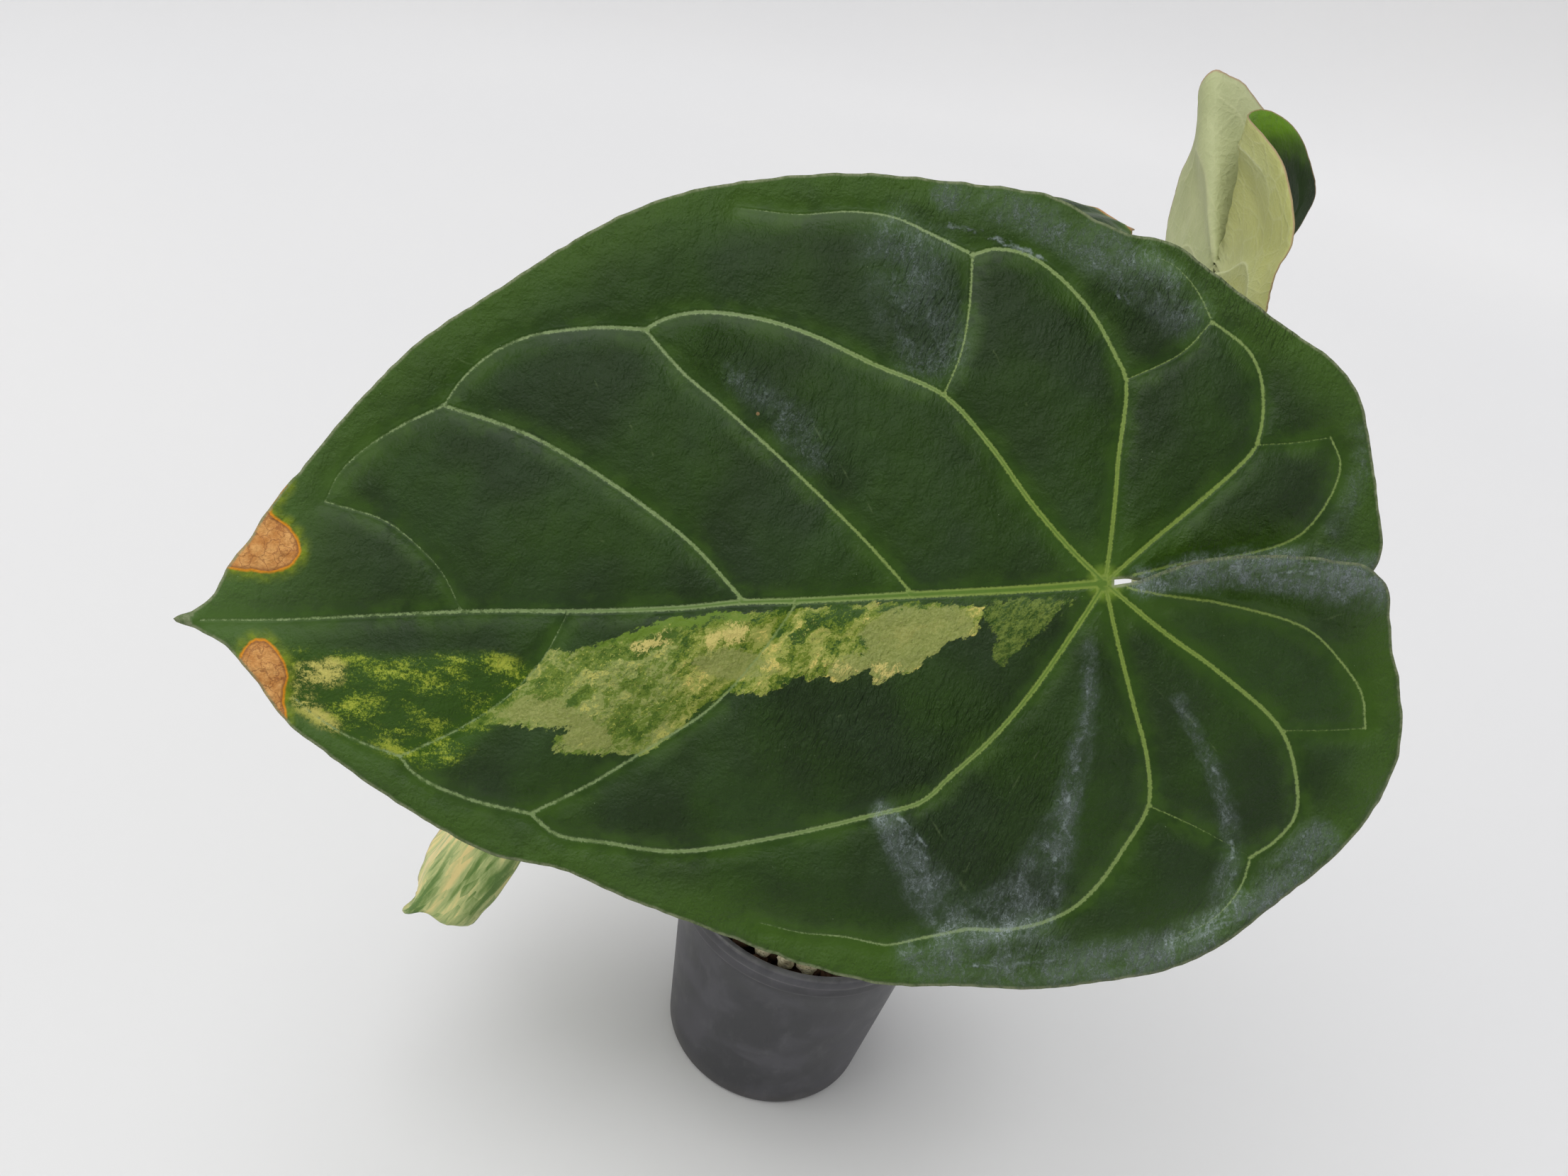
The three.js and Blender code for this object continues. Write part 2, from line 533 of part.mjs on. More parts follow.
function pot() {
  const bandFoot = POT_HEIGHT - RIM_BAND;
  const inner = (z) => bodyRadius(z) - POT_WALL;
  const { inner: recessIn, outer: recessOut, depth } = FLOOR_RECESS;
  const shell = manifoldOf(
    turned(
      [
        [0, 0],
        [recessIn, 0],
        [recessIn + depth, depth],
        [recessOut, depth],
        [recessOut + depth, 0],
        [bodyRadius(0) - 2.6, 0],
        [bodyRadius(0) - 0.5, 0.8],
        [bodyRadius(3), 3],
        [bodyRadius(bandFoot), bandFoot],
        [RIM_RADIUS - 1.2, bandFoot + 0.6],
        [RIM_RADIUS - 1, POT_HEIGHT - 6],
        [RIM_RADIUS, POT_HEIGHT - 5.4],
        [RIM_RADIUS, POT_HEIGHT - 0.6],
        [RIM_RADIUS - 0.8, POT_HEIGHT],
        [RIM_RADIUS - 2.6, POT_HEIGHT],
        [RIM_RADIUS - 3.4, POT_HEIGHT - 1],
        [inner(bandFoot), bandFoot],
        [inner(FLOOR_THICKNESS + depth), FLOOR_THICKNESS + depth],
        [0, FLOOR_THICKNESS + depth],
      ],
      POT_SEGMENTS,
    ),
  );
  const drains = Array.from({ length: DRAIN.count }, (_, i) => {
    const hole = new THREE.CylinderGeometry(DRAIN.radius, DRAIN.radius, 20, 12).rotateX(Math.PI / 2);
    const turn = (2 * Math.PI * i) / DRAIN.count;
    return manifoldOf(hole.translate(DRAIN.ring * Math.cos(turn), DRAIN.ring * Math.sin(turn), 0));
  });
  return drains.reduce((solid, hole) => solid.subtract(hole), shell);
}

// The stem: a stout stub with leaf scars, and roots that arch out of it into the mix.
function stem(growth = 0) {
  const scars = [];
  for (let z = STEM_FOOT; z <= STEM_TOP; z += 8) {
    const swell = Math.round((z - STEM_FOOT) / 8) % 2 ? 0 : 0.8;
    const taper = z > STEM_TOP - 5 ? 2.4 : 0;
    scars.push([STEM_RADIUS + swell - taper + growth, z]);
  }
  const trunk = manifoldOf(turned([[0, STEM_FOOT - growth], ...scars, [0, STEM_TOP + growth]], 12));
  const roots = [15, 95, 205, 320].map((turn, i) => {
    const [x, y] = [Math.cos(turn * RAD), Math.sin(turn * RAD)];
    const [near, far] = [17 + 3 * (i % 2), 26 + 2 * (i % 3)];
    const path = [
      [x * 4, y * 4, 107 - i],
      [x * 11, y * 11, 108 - i],
      [x * near, y * near, 102 - i],
      [x * far, y * far, 84],
    ];
    const radius = 2.6 - 0.2 * i + growth;
    return manifoldOf(sweep(path.map(vector), (share) => [radius - share, radius - share], 6, 7));
  });
  return roots.reduce((solid, root) => solid.add(root), trunk);
}

// One irregular lump: an icosahedron stretched and turned by the draw.
function lump(size, place, stretch = 0.45) {
  const shape = new THREE.IcosahedronGeometry(size, 0);
  shape.scale(1 + stretch * (draw() - 0.3), 1 + stretch * (draw() - 0.3), 0.75 + stretch * 0.5 * draw());
  shape.rotateX(draw() * 3).rotateY(draw() * 3).rotateZ(draw() * 6);
  return shape.translate(place.x, place.y, place.z);
}

function soil() {
  const floor = FLOOR_THICKNESS + FLOOR_RECESS.depth + GAP;
  const wall = (z) => bodyRadius(z) - POT_WALL - GAP * 1.5;
  const plug = manifoldOf(
    turned(
      [[0, floor], [wall(floor), floor], [wall(SOIL_TOP - 3), SOIL_TOP - 3], [38, SOIL_TOP], [14, SOIL_TOP + 2.5], [0, SOIL_TOP + 3]],
      POT_SEGMENTS,
    ),
  );
  let solid = plug;
  for (let i = 0; i < CHUNKS; i += 1) {
    const turn = i * 137.5 * RAD;
    const out = 46 * Math.sqrt((i + 1) / CHUNKS);
    const size = 4.6 + 3 * draw();
    const place = new THREE.Vector3(out * Math.cos(turn), out * Math.sin(turn), SOIL_TOP - 0.5 + 1.5 * draw());
    solid = solid.add(manifoldOf(lump(size, place)));
  }
  return solid;
}

function pumice() {
  return PUMICE.map(([turn, out, size]) => {
    const place = new THREE.Vector3(out * Math.cos(turn * RAD), out * Math.sin(turn * RAD), SOIL_TOP + 4.5);
    const start = seed;
    const solid = manifoldOf(lump(size, place));
    seed = start;
    return { solid, seat: manifoldOf(lump(size + GAP * 1.6, place)) };
  });
}

// Dry bracts that clasp the stem below the petioles: from, up to, and how far out they lean.
const BRACTS = [
  { turn: 40, foot: 105, height: 50, lean: 9 },
  { turn: 235, foot: 105, height: 42, lean: 11 },
  { turn: 130, foot: 106, height: 58, lean: 7 },
];
function bract({ turn, foot, height, lean }, growth = 0) {
  const [x, y] = [Math.cos(turn * RAD), Math.sin(turn * RAD)];
  const start = STEM_RADIUS + 2.4;
  const path = [
    [x * start, y * start, foot],
    [x * (start + 1.5), y * (start + 1.5), foot + height * 0.4],
    [x * (start + lean * 0.6), y * (start + lean * 0.6), foot + height * 0.75],
    [x * (start + lean), y * (start + lean), foot + height],
  ];
  const size = (share) => {
    const wide = 6.5 * Math.sin(Math.PI * (0.16 + 0.8 * share)) + 0.6 + growth;
    return [0.7 + growth, wide];
  };
  return manifoldOf(sweep(path.map(vector), size, 8, 8));
}

const finish = (color, roughness) => new THREE.MeshStandardMaterial({ color, roughness, metalness: 0 });
const MATERIALS = {
  pot: finish("#24262a", 0.55),
  soil: finish("#4a3626", 0.95),
  pumice: finish("#cfc3a4", 0.9),
  stem: finish("#6d6a3c", 0.75),
  petiole: finish("#5f7f35", 0.5),
  bract: finish("#8a6238", 0.85),
  leaf_big: finish("#2c4a26", 0.42),
  leaf_upper_right: finish("#a9b583", 0.6),
  leaf_behind: finish("#35521f", 0.45),
  leaf_lower_left: finish("#86a35c", 0.5),
};

const plant = new THREE.Group();
function place(name, shape, material) {
  const geometry = shape instanceof THREE.BufferGeometry ? shape : geometryOf(shape);
  const mesh = new THREE.Mesh(geometry, material.clone());
  mesh.name = name;
  plant.add(mesh);
}

const grown = [
  {
    name: "leaf_big",
    ...leaf(
      bladeNet(BIG_OUTLINE, BIG_VEINS, { spacing: 9, flanks: true }),
      { surface: bigLeafSurface, relief: () => 0 },
      bigLeafPlace(),
      BIG_PETIOLE,
    ),
  },
  ...LEAVES.map(({ name, length, spacing, creases, at, to, face, bends, rays, petiole: path }) => {
    const { outline, veins } = bothHalves(length);
    const net = bladeNet(outline, veins, { spacing, creases });
    const surface = rays ? rayedSurface(rays, outline) : bentSurface(bends);
    const place = leafPlace(vector(at), vector(to), vector(face));
    return { name, ...leaf(net, { surface, relief: quilted }, place, path) };
  }),
];

// Petioles are cut clear of each other from the first on, then the stem of all of them, and the mix of all.
let stemSolid = stem();
let soilSolid = soil().subtract(stem(GAP));
for (const { solid, seat } of pumice()) {
  soilSolid = soilSolid.subtract(seat);
  place(`pumice_${plant.children.length + 1}`, solid, MATERIALS.pumice);
}
grown.forEach(({ name, blade, petiole: solid, socket }, i) => {
  const clear = grown.slice(0, i).reduce((rest, other) => rest.subtract(other.socket), solid);
  place(name, blade, MATERIALS[name]);
  place(name.replace("leaf", "petiole"), largest(clear), MATERIALS.petiole);
  stemSolid = stemSolid.subtract(socket);
  soilSolid = soilSolid.subtract(socket);
});
BRACTS.forEach((shape, i) => {
  const clear = grown.reduce((rest, other) => rest.subtract(other.socket), bract(shape));
  place(`bract_${i + 1}`, largest(clear), MATERIALS.bract);
  stemSolid = stemSolid.subtract(bract(shape, GAP));
  soilSolid = soilSolid.subtract(bract(shape, GAP));
});
place("stem", largest(stemSolid), MATERIALS.stem);
place("soil", largest(soilSolid), MATERIALS.soil);
place("pot", pot(), MATERIALS.pot);

export default plant;
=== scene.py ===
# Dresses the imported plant: blades with veins, quilting, variegation and scorched spots, petioles, stem,
# bracts, bark mix and a moulded pot. The frame is in metres; sizes here are in millimetres, as in the part,
# and mesh_piece turns them into metres.
import math

import bmesh
import bpy
import numpy as np
from mathutils import Matrix, Vector
from mathutils.geometry import delaunay_2d_cdt


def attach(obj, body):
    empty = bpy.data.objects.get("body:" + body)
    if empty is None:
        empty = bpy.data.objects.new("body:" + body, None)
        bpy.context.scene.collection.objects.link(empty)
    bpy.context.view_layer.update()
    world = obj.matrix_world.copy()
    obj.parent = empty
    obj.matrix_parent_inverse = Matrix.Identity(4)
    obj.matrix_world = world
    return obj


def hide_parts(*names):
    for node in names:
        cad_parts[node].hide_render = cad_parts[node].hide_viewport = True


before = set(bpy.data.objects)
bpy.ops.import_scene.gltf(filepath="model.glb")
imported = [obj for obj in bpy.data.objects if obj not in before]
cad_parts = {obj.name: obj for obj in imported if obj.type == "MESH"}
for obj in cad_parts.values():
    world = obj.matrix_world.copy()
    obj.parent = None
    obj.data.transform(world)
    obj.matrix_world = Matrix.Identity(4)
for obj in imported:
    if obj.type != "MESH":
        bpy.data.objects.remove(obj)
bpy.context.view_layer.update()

MM = 0.001

# Camera: where the photographer stood, fitted to the pot's rim and foot
CAMERA_AT = (-43.4, -376.3, 509.1)
CAMERA_PITCH = 34.0
CAMERA_ROLL = 14.15
CAMERA_LENS = 27.03
CAMERA_SENSOR = 36.0

# Pot
POT_HEIGHT = 109.0
RIM_RADIUS = 60.0
RIM_BAND = 12.5
BAND_FOOT = POT_HEIGHT - RIM_BAND
TOP_RADIUS = 57.2
FOOT_RADIUS = 48.4
POT_WALL = 1.6
POT_FLOOR = 3.2
DRAINS, DRAIN_RADIUS, DRAIN_RING = 8, 5.0, 31.0
# The band and the lip, as distances in from the rim and down from the top
LIP = [
    (1.05, 6.1), (0.9, 5.8), (0.15, 5.5), (0, 5.1), (0, 1), (0.3, 0.3), (0.9, 0), (2.4, 0), (3.1, 0.4),
    (3.4, 1.1),
]

# Potting mix and stem
SOIL_TOP = 98.0
PUMICE = [
    # direction from the stem in degrees, distance, size
    (253, 46, 5.2), (266, 47.5, 4.4), (276, 46.5, 4.6), (310, 40, 5.5), (100, 38, 5.5), (20, 42, 4.6),
    (170, 36, 5),
]
CHIP_TRIES = 900
HEAP_RADIUS, HEAP_REACH, HEAP_TOP = 53.5, 55, 105.6
STEM_ROOM = 12.5
GRAINS = 46
STEM_RADIUS, STEM_TOP, STEM_FOOT = 9.0, 124.0, 60.0
BRACTS = [
    # direction in degrees, foot, height, lean away from the stem
    (40, 105, 50, 9), (235, 105, 42, 11), (130, 106, 58, 7),
]
PETIOLE_FOOT, PETIOLE_MIDDLE, PETIOLE_NECK = 5.0, 2.9, 4.0
NECK_LENGTH = 24.0

# Blades
HALF_BLADE = 0.34
RIB_UNDER = 1.2
RIB_OVER = 0.22
LOBE_GAP = 0.93
FINE_STEP = 1.3
CRENATION = 0.18
VEINLET_HALF = 0.22
WAVES = 6
FAR = 1e9
FACE_TILT = 34.0
SIDE_TURN = 14.2
BIG_LEAF_AT = (37.5, -109, 355)
SEEN_FROM = np.array((83.0, 1.0, 307.0))
BIG_OUTLINE = [
    (-2.5, -0.9), (-6, -1.1), (-9, -0.6), (-15, -1.4), (-24, -3.2), (-40, -2.5), (-58, -0.5), (-69, -1.8),
    (-72.5, -8), (-71.6, -20), (-69.7, -35), (-66.5, -49), (-60, -58), (-48, -66.5), (-36, -75.5),
    (-25, -84), (-18, -88.8), (-6, -91.5), (3, -95.6), (12, -100.6), (22, -102.9), (42, -105.2),
    (64, -107.2), (88, -105.8), (108, -102.6), (126, -96.3), (142, -87.5), (160, -76), (180, -62.5),
    (191, -51.8), (200, -42), (209, -31), (217, -21.5), (224, -11), (229.5, -4), (232.5, 2.5), (238, 6.8),
    (243.4, 9.2), (237, 12), (230, 16), (222, 25), (214, 36), (203, 44.5), (190, 54), (172, 65), (160, 71),
    (142, 74.8), (127, 81.5), (110, 88), (93, 94.5), (76, 100.6), (58, 104.8), (38, 105.3), (18, 106),
    (-2, 103.8), (-17, 100.8), (-30, 95), (-43, 85), (-60, 71.5), (-71, 58), (-77, 44), (-77.3, 29),
    (-74.8, 14), (-74, 2), (-70, -3.5), (-58, -6.3), (-43, -7.2), (-27, -6.3), (-16, -3.3), (-9, -0.6),
    (-2.5, 0.6),
]
# Each vein: its width where it starts and ends, and the points that it passes
BIG_VEINS = [
    (3.2, 0.8, [(0, 0), (20, 1.5), (50, 3), (80, 4.5), (95, 4.9), (110, 6.3), (135, 7.2), (160, 7.1),
                (190, 8.2), (215, 9.3), (236, 9.4)]),
    (2.2, 1.6, [(0, 0), (10, -10), (20, -22), (30, -36), (42, -49), (60, -57), (77, -65), (90, -69),
                (105, -70.8), (114, -69.3), (120, -66.3)]),
    (1.8, 1.0, [(120, -66.3), (132, -66.8), (150, -64.5), (160, -60), (168, -53), (172.5, -46.5)]),
    (1.4, 0.5, [(172.5, -46.5), (184, -41), (194, -34.5), (200, -28.5), (203.5, -21.5)]),
    (1.8, 1.6, [(0, 0), (-2, -15), (-3.5, -32), (-5.5, -53), (-2.5, -60), (3, -70), (12, -80), (20, -85.5),
                (28, -87.2), (34.5, -85.8)]),
    (1.6, 0.4, [(34.5, -85.8), (45, -91), (55, -95.5), (66, -97), (80, -96.3), (95, -98)]),
    (0.9, 1.2, [(42, -49), (37.5, -60), (35.3, -72), (34.5, -85.8)]),
    (1.8, 1.4, [(0, 0), (-10, -9), (-22, -19), (-34, -29.5), (-39.5, -36), (-41.3, -50), (-38, -60),
                (-28, -68.3)]),
    (1.0, 0.3, [(-28, -68.3), (-24, -76.5), (-18, -83), (-11, -86)]),
    (0.6, 0.8, [(-5.5, -53), (-20, -60), (-28, -68.3)]),
    (1.4, 1, [(0, 0), (-20, -5.2), (-36, -7.5), (-50, -12), (-58, -21), (-61.5, -31), (-59, -38)]),
    (0.5, 0.5, [(-39.5, -36), (-50, -36.6), (-59, -38)]),
    (1.4, 1.4, [(50, 3), (62, -10.5), (75, -23.5), (86, -34), (100, -46.5), (110, -55), (120, -66.3)]),
    (1.6, 1.6, [(94, 4.9), (107, -9.5), (120, -20), (137, -31.5), (152, -39.5), (172.5, -46.5)]),
    (0.5, 0.9, [(168, 7.1), (173, -3), (180, -10.5), (188, -16.5), (203.5, -21.5)]),
    (2.2, 1.6, [(0, 0), (8, 12.5), (20, 29.5), (30, 41), (40, 50), (48, 57), (62, 60.8), (84, 65.8),
                (112, 69.9), (130, 67.6), (143, 65.5), (150, 60)]),
    (1.6, 1.4, [(150, 60), (166, 56.2), (180, 49.8), (184, 45)]),
    (1.4, 0.8, [(184, 45), (196, 40.5), (206, 34.5), (212, 29.5)]),
    (1.8, 1.6, [(0, 0), (-3, 14), (-7.5, 32), (-11, 46), (-11.2, 58), (-5, 69), (3, 80), (11, 86.3),
                (24, 90.2), (36, 90.2)]),
    (1.6, 0.4, [(36, 90.2), (48, 92.6), (57, 94.3), (68, 92.2), (80, 91), (90, 88.6)]),
    (2, 1.4, [(0, 0), (-15, 12.5), (-30, 23.5), (-46, 38.5), (-50, 52), (-49.5, 61), (-44, 67.6),
              (-38, 71.5)]),
    (1.3, 0.4, [(-38, 71.5), (-35.5, 79), (-29, 87), (-18, 93)]),
    (0.8, 0.2, [(-11.2, 58), (-24, 63.8), (-38, 71.5)]),
    (1.3, 1.1, [(0, 0), (-14, 2.6), (-32, 5.4), (-53, 12), (-62, 21), (-67, 29), (-68, 38)]),
    (0.5, 0.5, [(-46, 38.5), (-57, 38.5), (-68, 38)]),
    (1.1, 1.4, [(80, 4.5), (90, 18.5), (103, 32.5), (120, 43.5), (135, 52.6), (150, 60)]),
    (0.5, 1.2, [(140, 7.3), (147, 20), (156, 29.5), (168, 37.5), (184, 45)]),
]
# Thin veins that only show as faint lines
BIG_VEINLETS = [
    [(60, 30), (70, 35), (80, 41), (92, 47)], [(-51, 11.5), (-62.5, 7.8), (-69, 4)],
    [(-50, -12), (-62, -8.5)], [(110, -2), (124, -8), (140, -15)], [(14, 40), (26, 56), (36, 74), (36, 89)],
    [(20, -46), (30, -62)], [(113.5, -74), (119, -66.5)], [(36, 84), (40, 72), (46, 60)],
    [(60, -18), (74, -38), (84, -55)], [(115, -30), (126, -44), (136, -56)], [(172, -60), (165, -57)],
    [(-10, 25), (-28, 42), (-32, 56)],
]

# What marks the big leaf, as rings of points: a scorched spot on each side of the tip, pale and grey tissue
SCORCHES = [
    [(214, -26), (219, -18.5), (216, -16.6), (213.4, -14.6), (211.4, -12), (210.5, -9), (211, -7), (213, -5),
     (218, -3.4), (222, -4), (230, -4.8), (236, -8), (228, -24)],
    [(236, 18), (226, 20.5), (224.5, 17.5), (223, 15.5), (219.5, 15), (217.5, 16.8), (215.5, 19), (214.3, 22),
     (214, 25), (214.8, 28), (215, 30), (214.6, 36), (226, 36)],
]
VARIEGATION = [
    (31, 6), (50, 5), (75, 6.3), (90, 7.6), (100, 7.2), (108, 9.2), (112, 8.6), (118, 10.5), (124, 13),
    (134, 16), (140, 18), (144, 17), (150, 24), (160, 33), (168, 38.5), (162, 37.4), (153, 36.8), (151, 38),
    (146, 38), (139, 37.2), (145, 43), (142, 44), (136, 44.5), (128, 44.5), (121, 44.8), (112, 38.5),
    (104, 31.5), (97, 28.5), (90, 29), (84, 27), (79, 24), (77, 26), (73, 23.5), (70, 26), (65, 24.2),
    (61, 22.5), (60, 26.5), (55, 24), (50, 23), (46, 19.5), (40, 15), (34, 13.5),
]
OLIVE_PATCH = [
    (8, 4), (27, 4.5), (33, 6), (31, 10), (28, 14), (29, 19), (28, 21.5), (24.5, 19), (18, 13.5), (12, 8),
]
CREAM_SPOTS = [
    [(92, 11), (97, 10), (104.5, 13.5), (104, 17.5), (98, 16.5), (93, 15)],
    [(114, 12), (119, 12.5), (124.5, 15.5), (123.5, 18.5), (117, 17.5), (113, 15)],
    [(60.5, 25.5), (60.5, 20), (58, 20.5), (56, 22.5), (51, 21), (52, 23.5), (56, 25)],
    [(70.5, 25), (70, 21), (66, 21.5), (63, 23), (66, 25)],
    [(198, 21), (204, 19.5), (211, 22), (212.5, 26), (205, 27), (199, 25)],
    [(214, 29), (209, 29), (203, 34), (199, 39), (206, 38), (212, 34)],
]
GREY_BLOCKS = [
    [(65, 12.8), (61, 9.3), (54.5, 7), (47.5, 6.5), (37, 6.5), (33, 12), (38, 16), (43, 20.5), (48.7, 23),
     (54.5, 25), (60, 27), (61.5, 23.5), (68.4, 26.5), (72, 24), (66, 18.6), (62, 17.4)],
    [(108, 21), (101, 17), (93, 18), (86, 22), (92, 24), (100, 25)],
    [(160, 35), (152, 30), (143, 31), (133, 36), (128, 42), (138, 43), (146, 37)],
]
FLECKED = [
    (213, 17), (198, 17.5), (184, 18.5), (170, 18), (157, 18.5), (149, 24), (155, 33), (162, 39), (167, 45),
    (175, 49), (184, 46), (192, 42), (200, 40), (208, 35), (214, 30),
]
REGIONS = {
    "patch": [VARIEGATION], "olive": [OLIVE_PATCH], "cream": CREAM_SPOTS, "grey": GREY_BLOCKS,
    "fleck": [FLECKED], "scorch": SCORCHES,
}

# Paths of painted sheen, a pale bluish reflection painted on the wrinkled and tilted blade: half width at the
# start and at the end, strength, and the points passed
SHEEN_PATHS = [
    (3.2, 6, 1.9, [(-10, -0.6), (-24, -3), (-46, -3.4), (-70, 0)]),
    (1.2, 3.2, 0.75, [(4, 16), (4.2, 30), (7, 46), (10, 58)]),
    (3.0, 9.5, 1.05, [(10, 58), (14, 70), (20, 82), (28, 92)]),
    (3, 7, 1.0, [(58, 60), (50, 73), (43, 84), (36, 92)]),
    (6, 8, 0.85, [(48, 97), (30, 99), (12, 101)]),
    (5.5, 5, 1.05, [(14, 101), (-10, 98), (-28, 91), (-44, 80), (-56, 68)]),
    (1.0, 3.0, 0.6, [(-19, 30), (-26, 44), (-31.5, 58), (-33, 72), (-29, 84)]),
    (9, 11, 0.5, [(46, -62), (50, -76), (52, -88)]),
    (3.5, 6, 0.65, [(42, -101), (20, -96), (2, -86), (-12, -78)]),
    (4, 7, 0.6, [(8, -92), (-8, -84), (-20, -72)]),
    (4, 6, 0.4, [(96, -55), (86, -46), (76, -36)]),
    (2.5, 2.5, 0.3, [(-60, -14), (-66, -26), (-67, -40)]),
]
# The paths of painted sheen along which the blade is also raised in folds
RAISED_SHEEN_PATHS = SHEEN_PATHS[1:6]

# Where the skin is finely creased, given in the same way
CREASES = [
    (15, 19, 1, [(80, 34), (54, 40), (28, 48)]), (11, 15, 1, [(46, 62), (32, 74), (22, 88)]),
    (11, 13, 0.9, [(4, -70), (-18, -78), (-38, -68)]), (10, 12, 0.8, [(50, -92), (47, -74), (44, -58)]),
    (9, 10, 0.7, [(102, -60), (86, -46), (72, -32)]), (8, 8, 0.8, [(-26, -2), (-50, -2), (-68, 4)]),
    (9, 9, 0.7, [(-14, 98), (-34, 86), (-50, 70)]),
]

# Painted highlights along the sharp crests of the creased skin and along the lapping lobe's rim
CREST_HIGHLIGHTS = [
    [(36, 99.7), (18.7, 99.2), (-2.2, 98), (-17.2, 95), (-31, 89.4), (-40.3, 84.7)],
    [(-33.4, 76.6), (-32.8, 67.4), (-31, 59.2), (-29.7, 52.4), (-28.2, 47.7)],
    [(4, 22), (5, 34), (7.6, 47.7), (9.4, 54.6), (10.5, 62.7), (12.9, 69.7), (12.9, 81.2), (14, 88.2)],
    [(55, 60), (47.5, 68.5), (46.4, 77.7), (43, 83.6), (40.7, 85.8)],
    [(-17, -0.2), (-27.4, -3), (-48, -3), (-63.3, -2.4)],
    [(5.7, -88.6), (1.7, -82.5), (-4.4, -80.5), (-2.4, -76.4), (-6.5, -73.3)],
    [(42.5, -93.8), (30.3, -90.7), (16, -84.5)],
    [(-9, 0.2), (-16, -2.4), (-27, -5.3), (-43, -6.2), (-58, -5.3), (-69.6, -2.4), (-73.8, 3)],
]

# The other leaves share one pattern: half an outline and half a set of veins, as shares of their length
HALF_OUTLINE = [
    (-0.006, 0.002), (-0.07, 0.01), (-0.15, 0.016), (-0.21, 0.03), (-0.238, 0.075), (-0.238, 0.125),
    (-0.215, 0.175), (-0.165, 0.228), (-0.1, 0.275), (-0.02, 0.31), (0.08, 0.33), (0.19, 0.328), (0.3, 0.3),
    (0.41, 0.252), (0.52, 0.19), (0.61, 0.125), (0.67, 0.07), (0.705, 0.034), (0.73, 0.014),
]
TIP = (0.76, 0)
MIDRIB = (2.8, 0.8, [(0, 0), (0.25, 0), (0.5, 0), (0.72, 0)])
HALF_VEINS = [
    (1.8, 1.3, [(0, 0), (0.06, 0.085), (0.13, 0.163), (0.24, 0.2), (0.35, 0.212), (0.45, 0.188),
                (0.54, 0.142), (0.62, 0.078)]),
    (1.6, 1.1, [(0, 0), (-0.012, 0.08), (-0.028, 0.15), (0.01, 0.22), (0.08, 0.27), (0.18, 0.288),
                (0.28, 0.268)]),
    (1.6, 1.1, [(0, 0), (-0.055, 0.042), (-0.125, 0.105), (-0.148, 0.16), (-0.115, 0.215)]),
    (1.1, 0.9, [(0, 0), (-0.08, 0.016), (-0.155, 0.042), (-0.198, 0.088), (-0.2, 0.125)]),
    (1.2, 1.2, [(0.17, 0), (0.25, 0.085), (0.33, 0.155), (0.4, 0.205)]),
    (1.2, 1.2, [(0.31, 0), (0.39, 0.065), (0.47, 0.115), (0.54, 0.142)]),
]
# Rays of the upper right leaf: the direction on the flat leaf in degrees, and where that ray ends
RAYS_UPPER_RIGHT = [
    (-172, -24, -28, 18), (-160, -42, -35, 25), (-150, -52, -33, 25), (-140, -65, -22, 20),
    (-133, -67, -7, 12), (-128, -59, 2, 2), (-122, -43, 1, -19), (-115, -25, 0, -39), (-105, 2, -1, -58),
    (-94, 15, 1, -62), (-76, 29, 2, -60), (-55, 48, 1, -50), (-38, 75, -3, -34), (-22, 104, -6, -12),
    (-11, 132, -8, 5), (0, 160, -9, 22), (11, 132, -10, 34), (22, 103, -9, 46), (38, 67, -6, 56),
    (55, 34, -1, 62), (76, -2, 4, 62), (94, -28, 9, 55), (112, -47, 10, 46), (126, -61, 11, 39),
    (139, -75, 16, 28), (146, -81, 13, 22), (152, -82, 6, 23), (157, -81, -1, 25), (162, -78, -8, 26),
    (167, -73, -15, 27), (173, -63, -20, 28),
]
# Bends: a point of the line, its direction, the radius, the turn and the length over which it grows
BENDS_BEHIND = [
    ((0, 4), 0, 70, -14, 0), ((0, -4), 180, 70, -14, 0), ((80, 0), -90, 60, -25, 0),
    ((-4, 0), 90, 60, -20, 0),
]
BENDS_LOWER_LEFT = [
    ((60, 8), 0, 7, -125, 60), ((0, 1), 180, 13, -76, 0), ((140, 0), -72, 9, -72, 0),
    ((-4, 0), 90, 60, -30, 0),
]
# The lower leaf's drooping end: places on the bent blade, how far each moves, and how wide the move reaches
NUDGES_LOWER_LEFT = [
    ((144.5, -13.8), (-2.7, 3.6), 4), ((149.5, 0.5), (-6, -4.4), 6.5), ((147.5, 9.5), (-4, -3), 5),
    ((157, -5), (-2.3, -3.2), 5), ((129, -16), (0.9, -1.2), 6), ((142, 12), (-2.5, -1.9), 4),
]
BIG_PETIOLE = [
    (0, -5, 66), (3, -9, 130), (9, -22, 205), (19, -46, 275), (31, -76, 325), (37, -96, 347),
    (37.4, -105.2, 352.2),
]

# Colours as they look on a screen, and where along a value each tone of the variegation starts
DEEP, MIDDLE, LIGHT, VEIN = (28, 49, 8), (38, 66, 2), (72, 106, 24), (130, 149, 100)
BARK = (30, 21, 17)
STREAK_TURN = -36
CALM_TONES = [
    (0.0, (66, 94, 14)), (0.3, (82, 108, 22)), (0.36, (102, 124, 38)), (0.52, (110, 130, 48)),
    (0.56, (138, 150, 78)), (0.72, (152, 160, 88)), (0.78, (182, 180, 92)),
]
LIVELY_TONES = [
    (0.0, (48, 78, 10)), (0.3, (66, 96, 14)), (0.34, (102, 122, 28)), (0.48, (118, 134, 40)),
    (0.52, (148, 156, 72)), (0.68, (168, 168, 84)), (0.78, (206, 190, 102)),
]
STREAK_TONES = [
    (0.0, (76, 106, 48)), (0.40, (96, 126, 60)), (0.47, (126, 148, 82)), (0.53, (152, 168, 106)),
    (0.61, (184, 190, 126)), (0.74, (224, 206, 140)),
]
